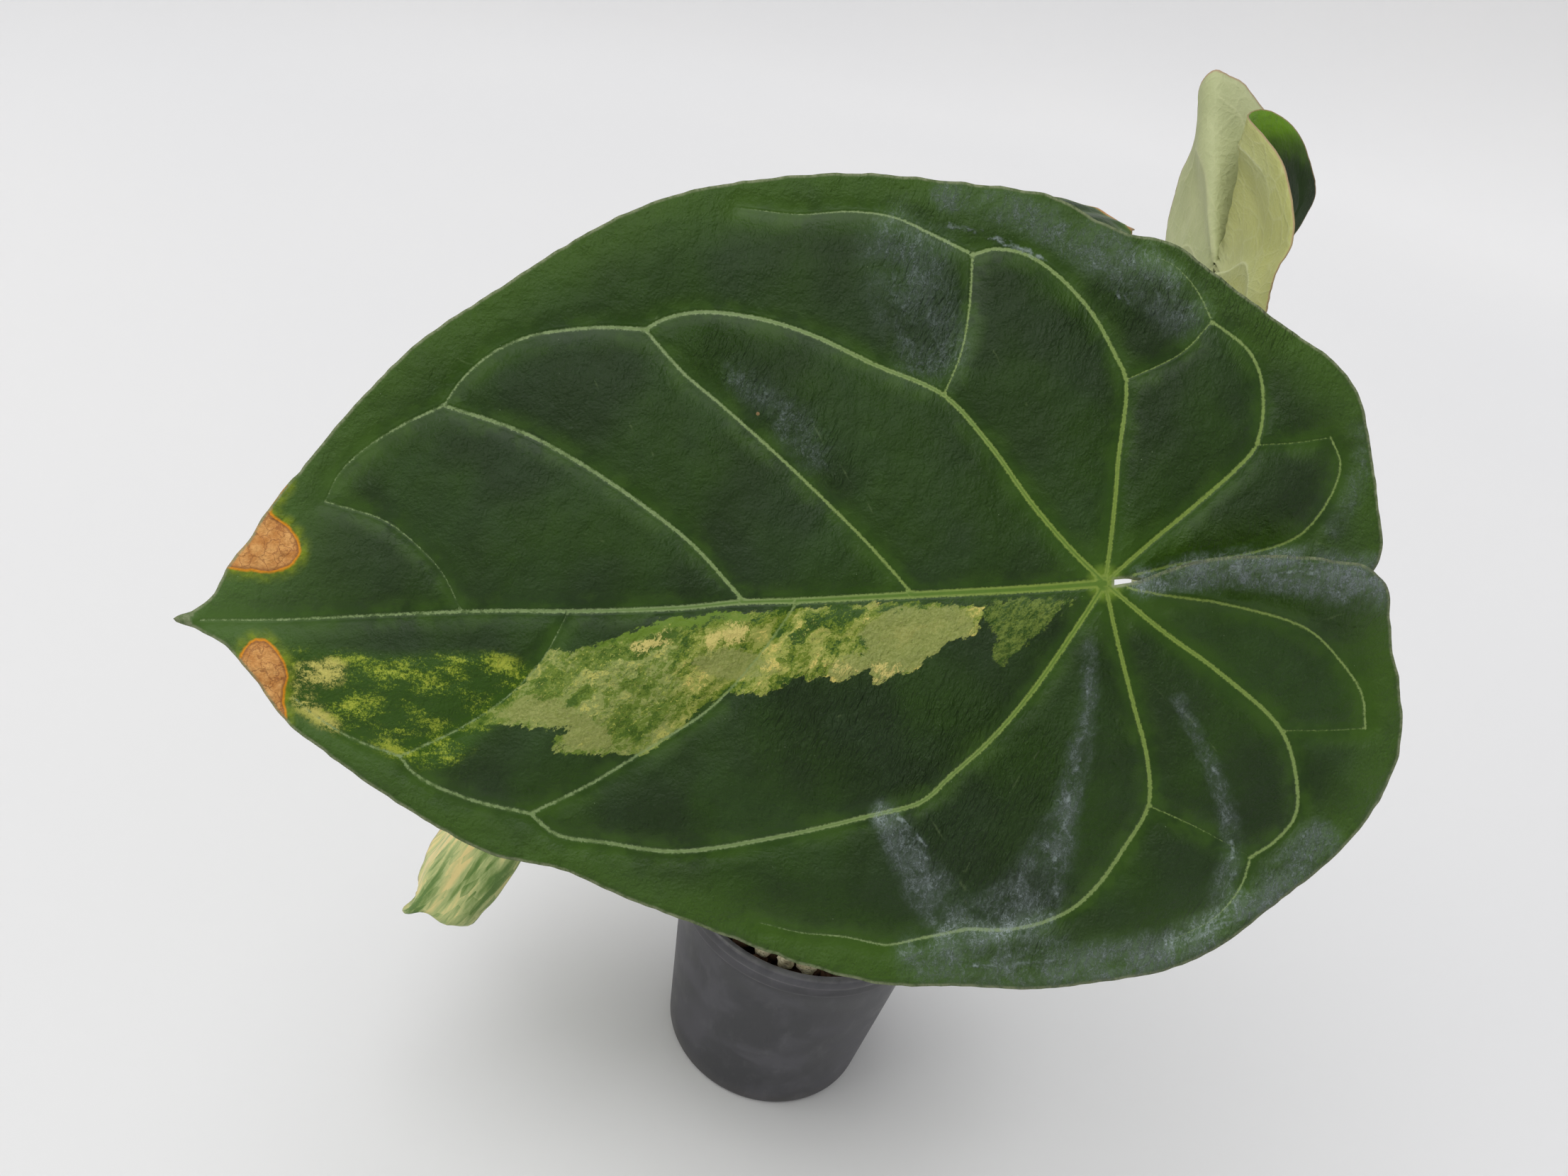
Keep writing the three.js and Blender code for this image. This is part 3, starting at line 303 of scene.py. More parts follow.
FLOOR_HEIGHT = -0.2


def srgb(red, green, blue):
    """A colour given as it looks on a screen, from 0 to 255, in Blender's linear values."""
    shares = (red / 255, green / 255, blue / 255)
    return tuple(c / 12.92 if c < 0.04045 else ((c + 0.055) / 1.055) ** 2.4 for c in shares)


# Curves and distances


def smooth(value, low, high):
    share = np.clip((value - low) / (high - low), 0, 1)
    return share * share * (3 - 2 * share)


def lengths(vectors):
    return np.linalg.norm(vectors, axis=1)


def run_along(line):
    """How far along a line each of its points lies."""
    return np.r_[0, np.cumsum(lengths(np.diff(line, axis=0)))]


def direction(degrees):
    return math.cos(math.radians(degrees)), math.sin(math.radians(degrees))


def hermite(t, start, end, leave, arrive):
    """A smooth way from start to end, with the speeds at which it leaves and arrives."""
    t2, t3 = t**2, t**3
    first, last = (2 * t3 - 3 * t2 + 1) * start, (3 * t2 - 2 * t3) * end
    return first + (t3 - 2 * t2 + t) * leave + last + (t3 - t2) * arrive


def curve(points, step):
    """Points every step or so along a smooth centripetal curve through the given points."""
    p = np.asarray(points, float)
    p = np.vstack([2 * p[0] - p[1], p, 2 * p[-1] - p[-2]])
    share = np.linspace(0, 1, 17)[:-1, None]
    fine = []
    for a, b, c, d in zip(p, p[1:], p[2:], p[3:]):
        gaps = ((a, b), (b, c), (c, d))
        before, here, after = (max(np.linalg.norm(y - x), 1e-6) ** 0.5 for x, y in gaps)
        leave = ((b - a) / before - (c - a) / (before + here) + (c - b) / here) * here
        arrive = ((c - b) / here - (d - b) / (here + after) + (d - c) / after) * here
        fine.append(hermite(share, b, c, leave, arrive))
    fine = np.vstack([*fine, p[-2][None]])
    run = run_along(fine)
    at = np.linspace(0, run[-1], max(2, round(run[-1] / step)) + 1)
    return np.stack([np.interp(at, run, fine[:, k]) for k in range(fine.shape[1])], 1)


def to_line(points, line):
    """Each point's distance to a polyline, and how far along it the nearest place is, from 0 to 1."""
    line = np.asarray(line, float)
    way = np.diff(line, axis=0)
    best, share = np.full(len(points), FAR), np.zeros(len(points))
    for i, (a, d) in enumerate(zip(line, way)):
        t = np.clip((points - a) @ d / (d @ d + 1e-12), 0, 1)
        far = lengths(points - a - t[:, None] * d)
        nearer = far < best
        best[nearer] = far[nearer]
        share[nearer] = (i + t[nearer]) / len(way)
    return best, share


def nearest_line(points, paths):
    return np.min([to_line(points, curve(path, 2))[0] for path in paths], axis=0)


def inside(points, ring):
    x, y = points[:, 0], points[:, 1]
    found = np.zeros(len(points), bool)
    for (ax, ay), (bx, by) in zip(np.roll(ring, 1, axis=0), ring):
        crosses = (by > y) != (ay > y)
        if crosses.any() and ay != by:
            found ^= crosses & (x < (ax - bx) * (y - by) / (ay - by) + bx)
    return found


def to_regions(points, rings):
    """How far each point lies outside the nearest of several regions, negative inside it."""
    found = []
    for ring in rings:
        closed = curve([*ring, ring[0]], 1.2)
        far = to_line(points, closed)[0]
        found.append(np.where(inside(points, closed), -far, far))
    return np.min(found, axis=0)


def strength_along(points, paths):
    total = np.zeros(len(points))
    for start, end, strength, path in paths:
        far, share = to_line(points, curve(path, 3))
        half = start + (end - start) * share
        total = np.maximum(total, strength * smooth(-far / half, -1.5, -0.2))
    return total


def ripples(x, y, length, seed):
    """A gentle uneven surface from waves of about one length in different directions, from -1 to 1."""
    rng = np.random.default_rng(seed)
    total = np.zeros_like(x)
    for _ in range(WAVES):
        turn, phase = rng.uniform(0, 2 * math.pi, 2)
        wave = length * rng.uniform(0.7, 1.5)
        total += np.sin((x * math.cos(turn) + y * math.sin(turn)) * 2 * math.pi / wave + phase)
    return total / WAVES * 1.6


def ripples_along(run, length, seed):
    return ripples(run, run * 0, length, seed)


# Blades


def polar(reach, angles):
    return np.stack([reach * np.cos(angles), reach * np.sin(angles)], 1)


def opened(points, angles):
    """The leaf's plane opened out, so that lobes that overlap lie apart."""
    return polar(lengths(points), angles * LOBE_GAP)


def angles_of(points):
    return np.arctan2(points[:, 1], points[:, 0])


class Places:
    """Points that keep apart from each other."""

    def __init__(self, cell):
        self.cell, self.found, self.points = cell, {}, []

    def add(self, x, y, room):
        """Keeps a point and says so, unless another lies nearer than the room that it needs."""
        i, j = int(x // self.cell), int(y // self.cell)
        n = int(room // self.cell) + 1
        for a in range(i - n, i + n + 1):
            for b in range(j - n, j + n + 1):
                for px, py in self.found.get((a, b), ()):
                    if (px - x) ** 2 + (py - y) ** 2 < room * room:
                        return False
        self.found.setdefault((i, j), []).append((x, y))
        self.points.append((x, y))
        return True


def margin_ring(outline, seed):
    """The outline as a close row of points with a slightly crenate edge."""
    ring = curve(outline, FINE_STEP)
    way = np.gradient(ring, axis=0)
    away = np.stack([way[:, 1], -way[:, 0]], 1) / lengths(way)[:, None]
    run = np.arange(len(ring)) * FINE_STEP
    fade = np.minimum(1, np.minimum(run, run[-1] - run) / 20)
    wave = ripples_along(run, 7, seed) + 0.6 * ripples_along(run, 3.2, seed + 1)
    ring = ring + away * fade[:, None] * CRENATION * wave[:, None]
    return opened(ring, np.unwrap(angles_of(ring)))


def net_places(ring, lines, spacing, seed):
    """Places for points, with the room that each needs: along the veins, beside them, in an uneven grid."""
    found = [(x, y, 0.75) for _, _, line in lines for x, y in line]
    for start, end, line in lines:
        way = np.gradient(line, axis=0)
        side = np.stack([-way[:, 1], way[:, 0]], 1) / lengths(way)[:, None]
        half = np.linspace(start, end, len(line))[:, None] / 2
        for far in (0.55, 1.25, 2.4):
            for sign in (-1, 1):
                found += [(x, y, 0.6 * far) for x, y in line + side * sign * (half + far - 0.3)]
    rng = np.random.default_rng(seed)
    (left, low), (right, high) = ring.min(0), ring.max(0)
    for j, y in enumerate(np.arange(low, high, spacing * 0.866)):
        for x in np.arange(left + spacing * 0.5 * (j % 2), right, spacing):
            dx, dy = rng.uniform(-0.12, 0.12, 2) * spacing
            found.append((x + dx, y + dy, spacing * 0.66))
    found = np.array(found)
    return found[inside(found[:, :2], ring)]


def triangles(places, rim, ring):
    """Triangles between the places; the first rim places are the outline. All face up."""
    corners = [Vector(p) for p in places]
    edges = [(i, (i + 1) % rim) for i in range(rim)]
    points, _, faces, *_ = delaunay_2d_cdt(corners, edges, [list(range(rim))], 1, 1e-5, False)
    points = np.array([tuple(p) for p in points])
    faces = np.array([f for f in faces if len(f) == 3])
    faces = faces[inside(points[faces].mean(1), ring)]
    a, b, c = (points[faces[:, k]] for k in range(3))
    turn = (b[:, 0] - a[:, 0]) * (c[:, 1] - a[:, 1]) - (b[:, 1] - a[:, 1]) * (c[:, 0] - a[:, 0])
    faces[turn < 0] = faces[turn < 0][:, ::-1]
    return points, faces[np.abs(turn) > 1e-6]


def vein_fields(points, lines):
    """How far points lie outside the nearest vein and from its centre line, and how high its rib is."""
    edge, centre, rib = np.full(len(points), FAR), np.full(len(points), FAR), np.zeros(len(points))
    for start, end, line in lines:
        far, share = to_line(points, line)
        half = (start + (end - start) * share) / 2
        edge = np.minimum(edge, far - 0.8 * half + 0.14)
        centre = np.minimum(centre, far)
        round_top = np.sqrt(np.clip(1 - (far / (half * 1.25 + 0.25)) ** 2, 0, 1))
        rib = np.maximum(rib, half / 1.4 * round_top)
    return edge, centre, rib


def blade_net(outline, veins, spacing, seed):
    """A flat leaf's triangles, fine along the margin and the veins, and what is known at its points."""
    ring = margin_ring(outline, seed)
    closed = np.vstack([ring, ring[:1]])
    curves = [(start, end, curve(path, FINE_STEP)) for start, end, path in veins]
    lines = [(start, end, opened(line, angles_of(line))) for start, end, line in curves]
    places = Places(1.0)
    for x, y in ring:
        places.add(x, y, 0.05)
    rim = len(places.points)
    spots = net_places(ring, lines, spacing, seed)
    for (x, y, room), far in zip(spots, to_line(spots[:, :2], closed)[0]):
        if far > 0.8:
            places.add(x, y, room)
    points, faces = triangles(places.points, rim, ring)
    angle, reach = angles_of(points) / LOBE_GAP, lengths(points)
    net = {"faces": faces, "edge": to_line(points, closed)[0], "angle": angle, "reach": reach}
    net["vein"], net["from_vein"], net["rib"] = vein_fields(points, lines)
    net["flat"] = polar(reach, angle)
    return net


def normals_of(points, faces):
    a, b, c = (points[faces[:, k]] for k in range(3))
    flat = np.cross(b - a, c - a)
    total = np.zeros_like(points)
    for k in range(3):
        np.add.at(total, faces[:, k], flat)
    return total / np.maximum(lengths(total), 1e-12)[:, None]


def blade_solid(net, middle, matrix):
    """Both faces of a blade and the thin wall between them, in the object's frame."""
    faces, count = net["faces"], len(middle)
    normals = normals_of(middle, faces)
    thin = HALF_BLADE * (0.55 + 0.45 * smooth(net["edge"], 0, 3))
    upper = middle + normals * (thin + RIB_OVER * net["rib"])[:, None]
    under = middle - normals * (thin + RIB_UNDER * net["rib"])[:, None]
    ways = np.vstack([faces[:, (0, 1)], faces[:, (1, 2)], faces[:, (2, 0)]])
    _, first, times = np.unique(np.sort(ways, axis=1), axis=0, return_index=True, return_counts=True)
    start, end = ways[first[times == 1]].T
    halves = ((end, start, start + count), (end, start + count, end + count))
    wall = np.vstack([np.stack(half, 1) for half in halves])
    every = np.vstack([faces, faces[:, ::-1] + count, wall])
    kinds = np.repeat([0, 1, 0], [len(faces), len(faces), len(wall)])
    points = np.vstack([upper, under]) @ matrix[:3, :3].T + matrix[:3, 3]
    return points, every, kinds


def leaf_matrix(at, to, face):
    """A blade's frame: its place, the way to its tip, and the side that its upper face turns to."""
    x = np.array(to, float) / np.linalg.norm(to)
    y = np.cross(face, x)
    y /= np.linalg.norm(y)
    matrix = np.eye(4)
    matrix[:3] = np.column_stack([x, y, np.cross(x, y), at])
    return matrix


def big_leaf_matrix():
    (rise, back), (along, lift) = direction(FACE_TILT), direction(SIDE_TURN)
    up = np.array((0, back, rise))
    right = np.array((1.0, 0, 0))
    return leaf_matrix(BIG_LEAF_AT, -along * right - lift * up, np.cross(right, up))


def quilted(net, height, reach):
    return height * (1 - np.exp(-((net["from_vein"] / reach) ** 2)))


def big_leaf_surface(net):
    """Arched, and quilted between the veins. A lifted point moves towards the viewing point."""
    u, v = net["flat"].T
    reach, degrees = net["reach"], np.degrees(net["angle"])
    arch = -np.where(u > 60, 0.0004, 0.0008) * (u - 60) ** 2 - 0.0009 * v * v
    lap = smooth(reach, 3, 26) * (9.5 * smooth(degrees, 158, 188) - 2.5 * smooth(-degrees, 150, 178))
    away = smooth(net["from_vein"], 1.5, 9)
    swell = 0.45 * ripples(u, v, 34, 3) + away * (0.22 * ripples(u, v, 13, 4) + 0.1 * ripples(u, v, 6, 5))
    wave = 0.9 * ripples(u, v, 26, 6) * np.exp(-net["edge"] / 7)
    fold = np.zeros_like(u)
    for start, end, strength, path in RAISED_SHEEN_PATHS:
        far, share = to_line(net["flat"], curve(path, 3))
        wide = 2 + start + (end - start) * share
        fold = np.maximum(fold, strength * np.exp(-((far / wide) ** 2)))
    lift = arch + quilted(net, 2.4, 11) + lap + smooth(reach, 4, 40) * (swell + wave) + 0.9 * fold
    flat = np.stack([u, v, 0 * u], 1)
    return flat + (SEEN_FROM - flat) * (lift / SEEN_FROM[2])[:, None]


def bend(points, at, way, radius, turn, ramp):
    """Bends a sheet about a line in its plane: what lies left of it turns up, or down for a negative turn."""
    dx, dy = direction(way)
    x, y, z = points[:, 0] - at[0], points[:, 1] - at[1], points[:, 2]
    forward, left = x * dx + y * dy, y * dx - x * dy
    full = abs(math.radians(turn)) * (smooth(forward, 0, ramp) if ramp else np.ones_like(forward))
    angle = np.minimum(left / radius, full)
    rest = np.maximum(0, left - radius * full)
    sign = math.copysign(1, turn)
    across = radius * np.sin(angle) + rest * np.cos(full) - sign * z * np.sin(angle)
    height = sign * (radius * (1 - np.cos(angle)) + rest * np.sin(full)) + z * np.cos(angle)
    bent = np.stack([at[0] + forward * dx - across * dy, at[1] + forward * dy + across * dx, height], 1)
    return np.where((left > 0)[:, None], bent, points)


def bent_surface(net, bends):
    points = np.column_stack([net["flat"], np.zeros(len(net["flat"]))])
    for at, way, radius, turn, ramp in bends:
        points = bend(points, at, way, radius, turn, ramp)
    return points


def nudged(points, nudges):
    """Small moves of a bent blade, each fading out around its place."""
    moved = points.copy()
    for centre, move, radius in nudges:
        near = np.exp(-(((points[:, :2] - centre) ** 2).sum(1)) / radius**2)
        moved[:, :2] += near[:, None] * move
    return moved


def reach_at(degrees, outline):
    """How far the outline reaches from the petiole in a direction of the flat leaf."""
    x, y = direction(degrees)
    far = 0
    for (ax, ay), (bx, by) in zip(outline, outline[1:]):
        dx, dy = bx - ax, by - ay
        cross = x * dy - y * dx
        if abs(cross) > 1e-9 and 0 <= (y * ax - x * ay) / cross <= 1:
            far = max(far, (ax * dy - ay * dx) / cross)
    return far


def rayed_surface(net, rays, outline):
    """Lays a leaf along rays from the petiole. A ray has its direction on the flat leaf and its end."""
    turns = np.array([ray[0] for ray in rays], float)
    ways = np.array([np.array(ray[1:]) / reach_at(ray[0], outline) for ray in rays])
    ends = np.vstack([2 * ways[0] - ways[1], ways, 2 * ways[-1] - ways[-2]])
    degrees = np.clip(np.degrees(net["angle"]), turns[0], turns[-1])
    part = np.clip(np.searchsorted(turns, degrees), 1, len(turns) - 1)
    t = ((degrees - turns[part - 1]) / (turns[part] - turns[part - 1]))[:, None]
    a, b, c, d = (ends[part - 1 + k] for k in range(4))
    return hermite(t, b, c, 0.5 * (c - a), 0.5 * (d - b)) * net["reach"][:, None]


def with_relief(net, middle, seed):
    """Quilting between the veins and a wavy margin, along the sheet's normals."""
    u, v = net["flat"].T
    height = quilted(net, 1.6, 9) + 1.1 * np.sin(net["angle"] * 9) * np.exp(-net["edge"] / 10)
    height = height + 0.3 * ripples(u, v, 17, seed) + 0.1 * ripples(u, v, 6, seed + 1)
    return middle + normals_of(middle, net["faces"]) * height[:, None]


def both_halves(length):
    """The shared leaf pattern's outline and veins at their real length."""
    sides = {side: [(u * length, side * v * length) for u, v in HALF_OUTLINE] for side in (-1, 1)}
    outline = [*sides[-1], (TIP[0] * length, TIP[1] * length), *reversed(sides[1])]
    share = math.sqrt(length / 320)
    veins = []
    for (start, end, path), side in [(MIDRIB, 1), *((vein, side) for side in (1, -1) for vein in HALF_VEINS)]:
        veins.append((start * share, end * share, [(u * length, v * length * side) for u, v in path]))
    return outline, veins


# Meshes


def shown(name, data):
    """A new object in the scene."""
    made = bpy.data.objects.new(name, data)
    bpy.context.scene.collection.objects.link(made)
    return made


def mesh_piece(name, points, faces, materials, kinds=None, fields=None):
    """A piece from points in millimetres, with its materials and its values at the points."""
    mesh = bpy.data.meshes.new(name)
    mesh.from_pydata((np.asarray(points, float) * MM).tolist(), [], [list(map(int, f)) for f in faces])
    for material in materials:
        mesh.materials.append(material)
    if kinds is not None:
        mesh.polygons.foreach_set("material_index", np.asarray(kinds, np.int32))
    for key, values in (fields or {}).items():
        values = np.asarray(values, np.float32)
        kind, part = ("FLOAT_VECTOR", "vector") if values.ndim == 2 else ("FLOAT", "value")
        mesh.attributes.new(key, kind, "POINT").data.foreach_set(part, values.ravel())
    mesh.polygons.foreach_set("use_smooth", np.ones(len(mesh.polygons), bool))
    mesh.update()
    return shown(name, mesh)


def placed(piece, slot, *nodes):
    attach(piece, "root")
    if nodes:
        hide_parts(*nodes)


def frames_along(line):
    """Two directions across a line at each of its points, carried along without twisting."""
    way = np.gradient(line, axis=0)
    way /= lengths(way)[:, None]
    first = np.cross(way[0], (0.3, 0.9, 0.2))
    sides = [first / np.linalg.norm(first)]
    for w in way[1:]:
        side = sides[-1] - w * (sides[-1] @ w)
        sides.append(side / np.linalg.norm(side))
    sides = np.array(sides)
    return sides, np.cross(way, sides)


def tube(line, radii, around):
    """Points and faces of a closed tube, and each point's turn round it and distance along it."""
    sides, others = frames_along(line)
    turns = np.linspace(0, 2 * math.pi, around, endpoint=False)
    wide = radii[:, None, None]
    offset = wide * np.cos(turns)[:, None] * sides[:, None]
    offset = offset + wide * np.sin(turns)[:, None] * others[:, None]
    points = (line[:, None] + offset).reshape(-1, 3)
    faces = []
    for i in range(len(line) - 1):
        for k in range(around):
            a, b = i * around + k, i * around + (k + 1) % around
            faces.append((a, b, b + around, a + around))
    faces.append(tuple(reversed(range(around))))
    faces.append(tuple(range((len(line) - 1) * around, len(line) * around)))
    return points, faces, np.tile(turns, len(line)), np.repeat(run_along(line), around)


def turned(profile, segments):
    """Points and faces of a lathe turned about Z. A profile that meets the axis is closed there."""
    points, rows = [], []
    turns = np.linspace(0, 2 * math.pi, segments, endpoint=False)
    for radius, height in profile:
        if radius < 1e-6:
            rows.append([len(points)] * segments)
            points.append((0, 0, height))
            continue
        rows.append(list(range(len(points), len(points) + segments)))
        points += [(radius * math.cos(t), radius * math.sin(t), height) for t in turns]
    faces = []
    for low, high in zip(rows, rows[1:]):
        for k in range(segments):
            n = (k + 1) % segments
            face = [low[k], low[n], high[n], high[k]]
            faces.append([p for i, p in enumerate(face) if p != face[i - 1]])
    return np.array(points), faces


def joined(parts):
    """One set of points and faces from several."""
    points, faces, count = [], [], 0
    for p, f in parts:
        points.append(p)
        faces += [[i + count for i in face] for face in f]
        count += len(p)
    return np.vstack(points), faces


# Materials


class Tone:
    """A number, colour or place that a material's nodes work out. Arithmetic on it adds nodes."""

    def __init__(self, paint, socket):
        self.paint, self.socket = paint, socket

    def __add__(self, other):
        return self.paint.math("ADD", self, other)

    def __sub__(self, other):
        return self.paint.math("SUBTRACT", self, other)

    def __rsub__(self, other):
        return self.paint.math("SUBTRACT", other, self)

    def __mul__(self, other):
        return self.paint.math("MULTIPLY", self, other)

    def __abs__(self):
        return self.paint.math("ABSOLUTE", self)

    def span(self, low, high, start=0.0, end=1.0):
        """Eased from start, where the value is low, to end, where it is high."""
        inputs = {"Value": self, "From Min": low, "From Max": high, "To Min": start, "To Max": end}
        return self.paint.out("MapRange", inputs, interpolation_type="SMOOTHSTEP")

    def axis(self, index):
        return self.paint.out("SeparateXYZ", {0: self}, index)

    def channel(self, index):
        return self.paint.out("SeparateColor", {0: self}, index)

    def length(self):
        return self.paint.out("VectorMath", {0: self}, "Value", operation="LENGTH")


class Paint:
    """A procedural material in millimetres, whose colours are given as they look on a screen, from 0 to 255.

    What a call takes is a plain value or a Tone. Its colour starts with the first lay, and each later one
    covers a share of it.
    """

    def __init__(self, name, leaf=False):
        self.material = bpy.data.materials.new(name)
        self.material.use_nodes = True
        self.tree = self.material.node_tree
        self.tree.nodes.clear()
        self.shader = self.tree.nodes.new("ShaderNodeBsdfPrincipled")
        end = self.tree.nodes.new("ShaderNodeOutputMaterial")
        self.tree.links.new(self.shader.outputs[0], end.inputs[0])
        if leaf:
            self.at = self.read("leaf_mm", "Vector")
            self.edge, self.vein, self.from_vein = map(self.read, ("edge", "vein", "from_vein"))
        else:
            on_object = self.out("TexCoord", part="Object")
            self.at = self.out("VectorMath", {0: on_object, "Scale": 1 / MM}, operation="SCALE")

    def put(self, socket, value):
        if isinstance(value, Tone):
            self.tree.links.new(value.socket, socket)
        elif socket.type == "RGBA":
            socket.default_value = (*srgb(*value), 1)
        else:
            socket.default_value = value

    def out(self, kind, inputs=(), part=0, **settings):
        """An output of a new node."""
        node = self.tree.nodes.new("ShaderNode" + kind)
        for key, value in settings.items():
            setattr(node, key, value)
        for key, value in dict(inputs).items():
            self.put(node.inputs[key], value)
        return Tone(self, node.outputs[part])

    def math(self, operation, *values):
        return self.out("Math", dict(enumerate(values)), operation=operation)

    def read(self, name, part="Fac"):
        """What the mesh says at its points."""
        return self.out("Attribute", part=part, attribute_name=name)

    def noise(self, size, detail=3.0, roughness=0.55, distortion=0.0, at=None, part="Fac"):
        """Soft noise whose patches are about size across."""
        inputs = {"Vector": at or self.at, "Scale": 1 / size, "Detail": detail}
        inputs.update({"Roughness": roughness, "Distortion": distortion})
        return self.out("TexNoise", inputs, part)

    def cells(self, size, part="Distance", at=None, feature="F1"):
        return self.out("TexVoronoi", {"Vector": at or self.at, "Scale": 1 / size}, part, feature=feature)

    def net(self, size, at=None):
        return self.cells(size, at=at, feature="DISTANCE_TO_EDGE")

    def stretched(self, turn, scale, at=None):
        """Coordinates turned in their plane and then stretched."""
        inputs = {"Vector": at or self.at, "Angle": math.radians(turn)}
        turned_at = self.out("VectorRotate", inputs, rotation_type="Z_AXIS")
        return self.out("VectorMath", {0: turned_at, 1: scale}, operation="MULTIPLY")

    def wandering(self, size, reach):
        """Coordinates that wander, so that what is drawn in them gets ragged edges."""
        offset = self.noise(size, 4.0, 0.62, part="Color")
        centred = self.out("VectorMath", {0: offset, 1: (0.5, 0.5, 0.5)}, operation="SUBTRACT")
        scaled = self.out("VectorMath", {0: centred, "Scale": reach}, operation="SCALE")
        return self.out("VectorMath", {0: self.at, 1: scaled}, operation="ADD")

    def mix(self, share, a, b):
        return self.out("Mix", {0: share, 6: a, 7: b}, 2, data_type="RGBA")

    def lay(self, colour, share=None):
        self.colour = colour if share is None else self.mix(share, self.colour, colour)

    def steps(self, value, stops, interpolation="LINEAR"):
        """A row of colours along a value."""
        ramp = self.tree.nodes.new("ShaderNodeValToRGB")
        self.put(ramp.inputs[0], value)
        row = ramp.color_ramp
        row.interpolation = interpolation
        while len(row.elements) < len(stops):
            row.elements.new(0.5)
        for element, (at, colour) in zip(row.elements, stops):
            element.position, element.color = at, (*srgb(*colour), 1)
        return Tone(self, ramp.outputs[0])

    def finish(self, roughness, specular, height=None, depth=0.0):
        values = {"Base Color": self.colour, "Roughness": roughness, "Specular IOR Level": specular}
        if height is not None:
            values["Normal"] = self.out("Bump", {"Height": height, "Distance": depth * MM, "Strength": 1.0})
        for key, value in values.items():
            self.put(self.shader.inputs[key], value)
        return self.material


def vein_mask(paint, vein, softness=0.2, raggedness=1.9):
    ragged = (paint.noise(0.75, 5, 0.85) - 0.46) * raggedness
    return (vein + ragged).span(softness, -softness)


def variegated(paint, patch):
    """Speckled, ragged streaks that run with the side veins: olive and grey-green, then lime and cream."""
    green = paint.colour
    streaks = paint.stretched(STREAK_TURN, (0.42, 1, 1), paint.wandering(5, 6))
    block = paint.cells(3.0, "Color", streaks)
    soft = paint.noise(5.5, 6, 0.75, at=streaks)
    fine = paint.noise(0.9, 5, 0.9, at=paint.stretched(STREAK_TURN, (0.7, 1, 1)))
    grainy = (fine - 0.5) * block.channel(2).span(0.3, 0.6, 0.35, 1.3)
    tone = soft * 2.2 + block.channel(0) * 0.3 + grainy - 0.75
    along = paint.wandering(9, 20).axis(0)
    calm = paint.steps(tone, CALM_TONES, "CONSTANT")
    lively = paint.steps(tone, LIVELY_TONES, "CONSTANT")
    paint.lay(paint.mix(along.span(114, 108), calm, lively))
    speckled = (block.channel(1) + soft * 0.4).span(0.55, 0.7)
    paint.lay((62, 94, 14), speckled * fine.span(0.54, 0.59, 0, 0.85))
    paint.lay((186, 188, 88), speckled * fine.span(0.44, 0.39, 0, 0.85))
    ragged = (paint.noise(2.6, 6, 0.85, at=streaks) - 0.5) * 17 + (fine - 0.5) * 5
    even = paint.mix(fine.span(0.42, 0.58), (126, 136, 64), (150, 156, 88))
    paint.lay(even, (paint.read("grey") + ragged * 0.7).span(0.2, -0.2, 0, 0.88))
    paint.lay((206, 192, 112), (paint.read("cream") + ragged).span(-0.9, -1.3, 0, 0.92))
    across = paint.read("patch") + (soft - 0.5) * 22
    upper = (paint.at.axis(1) + ragged).span(17, 14)
    paint.lay((96, 124, 28), across.span(-3.2, -2.6) * upper * along.span(92, 98))
    tones, paint.colour = paint.colour, green
    paint.lay(tones, patch)


def scorched(paint):
    """Dry tan tissue with a brown net, a dark rim, an orange line and a yellow fade into the green."""
    green = paint.colour
    scorch = paint.read("scorch") + (paint.noise(2.5, 3) - 0.5) * 1.2
    crooked = paint.wandering(3.0, 3.6)
    paint.lay((192, 128, 60))
    paint.lay((226, 170, 100), paint.noise(3.4, 5, 0.65).span(0.3, 0.7))
    paint.lay((140, 84, 40), paint.net(4.2, crooked).span(0.045, 0.01, 0, 0.62))
    paint.lay((150, 92, 46), paint.net(1.5, crooked).span(0.07, 0.01, 0, 0.25))
    paint.lay((136, 84, 38), scorch.span(-0.8, -0.1, 0, 0.7))
    tan, paint.colour = paint.colour, green
    paint.lay((126, 142, 16), scorch.span(4.2, 0.7) * paint.noise(3, 2).span(0.35, 0.65, 0.25, 0.85))
    paint.lay((214, 138, 18), scorch.span(1.0, 0.3))
    paint.lay(tan, scorch.span(0.2, -0.02))


def painted_sheen(paint):
    """Painted sheen: a pale bluish reflection painted where the blade is wrinkled or tilted, thin, with fine
    ridges, and painted highlights along sharp crests.
    """
    crooked = paint.stretched(14, (1, 0.36, 1), paint.wandering(5, 5))
    ridges = 0.0
    for size, thin, strength in ((3.4, 0.03, 0.8), (1.5, 0.04, 0.5)):
        ridge = abs(paint.noise(size, 4, 0.6, at=crooked) - 0.5)
        ridges = paint.math("MAXIMUM", ridges, ridge.span(thin, 0.0, 0, strength))
    share = paint.read("painted_sheen_strength") * paint.noise(10, 4, 0.65, 0.5).span(0.36, 0.6, 0.15, 1.0)
    sheen_veil = share * (ridges + 0.26) * paint.noise(0.7, 4, 0.8).span(0.35, 0.62, 0.55, 1.0)
    crest_highlight = (paint.read("crest_highlight") + (paint.noise(1.7, 5, 0.7) - 0.5) * 3.4).span(1.0, 0.1)
    sheen_veil = paint.math("MAXIMUM", sheen_veil, crest_highlight * paint.noise(4, 5, 0.7).span(0.38, 0.6, 0.05, 0.62))
    # The pale bluish painted sheen and the painted crest highlights
    paint.lay((160, 174, 172), sheen_veil)
    return share, sheen_veil


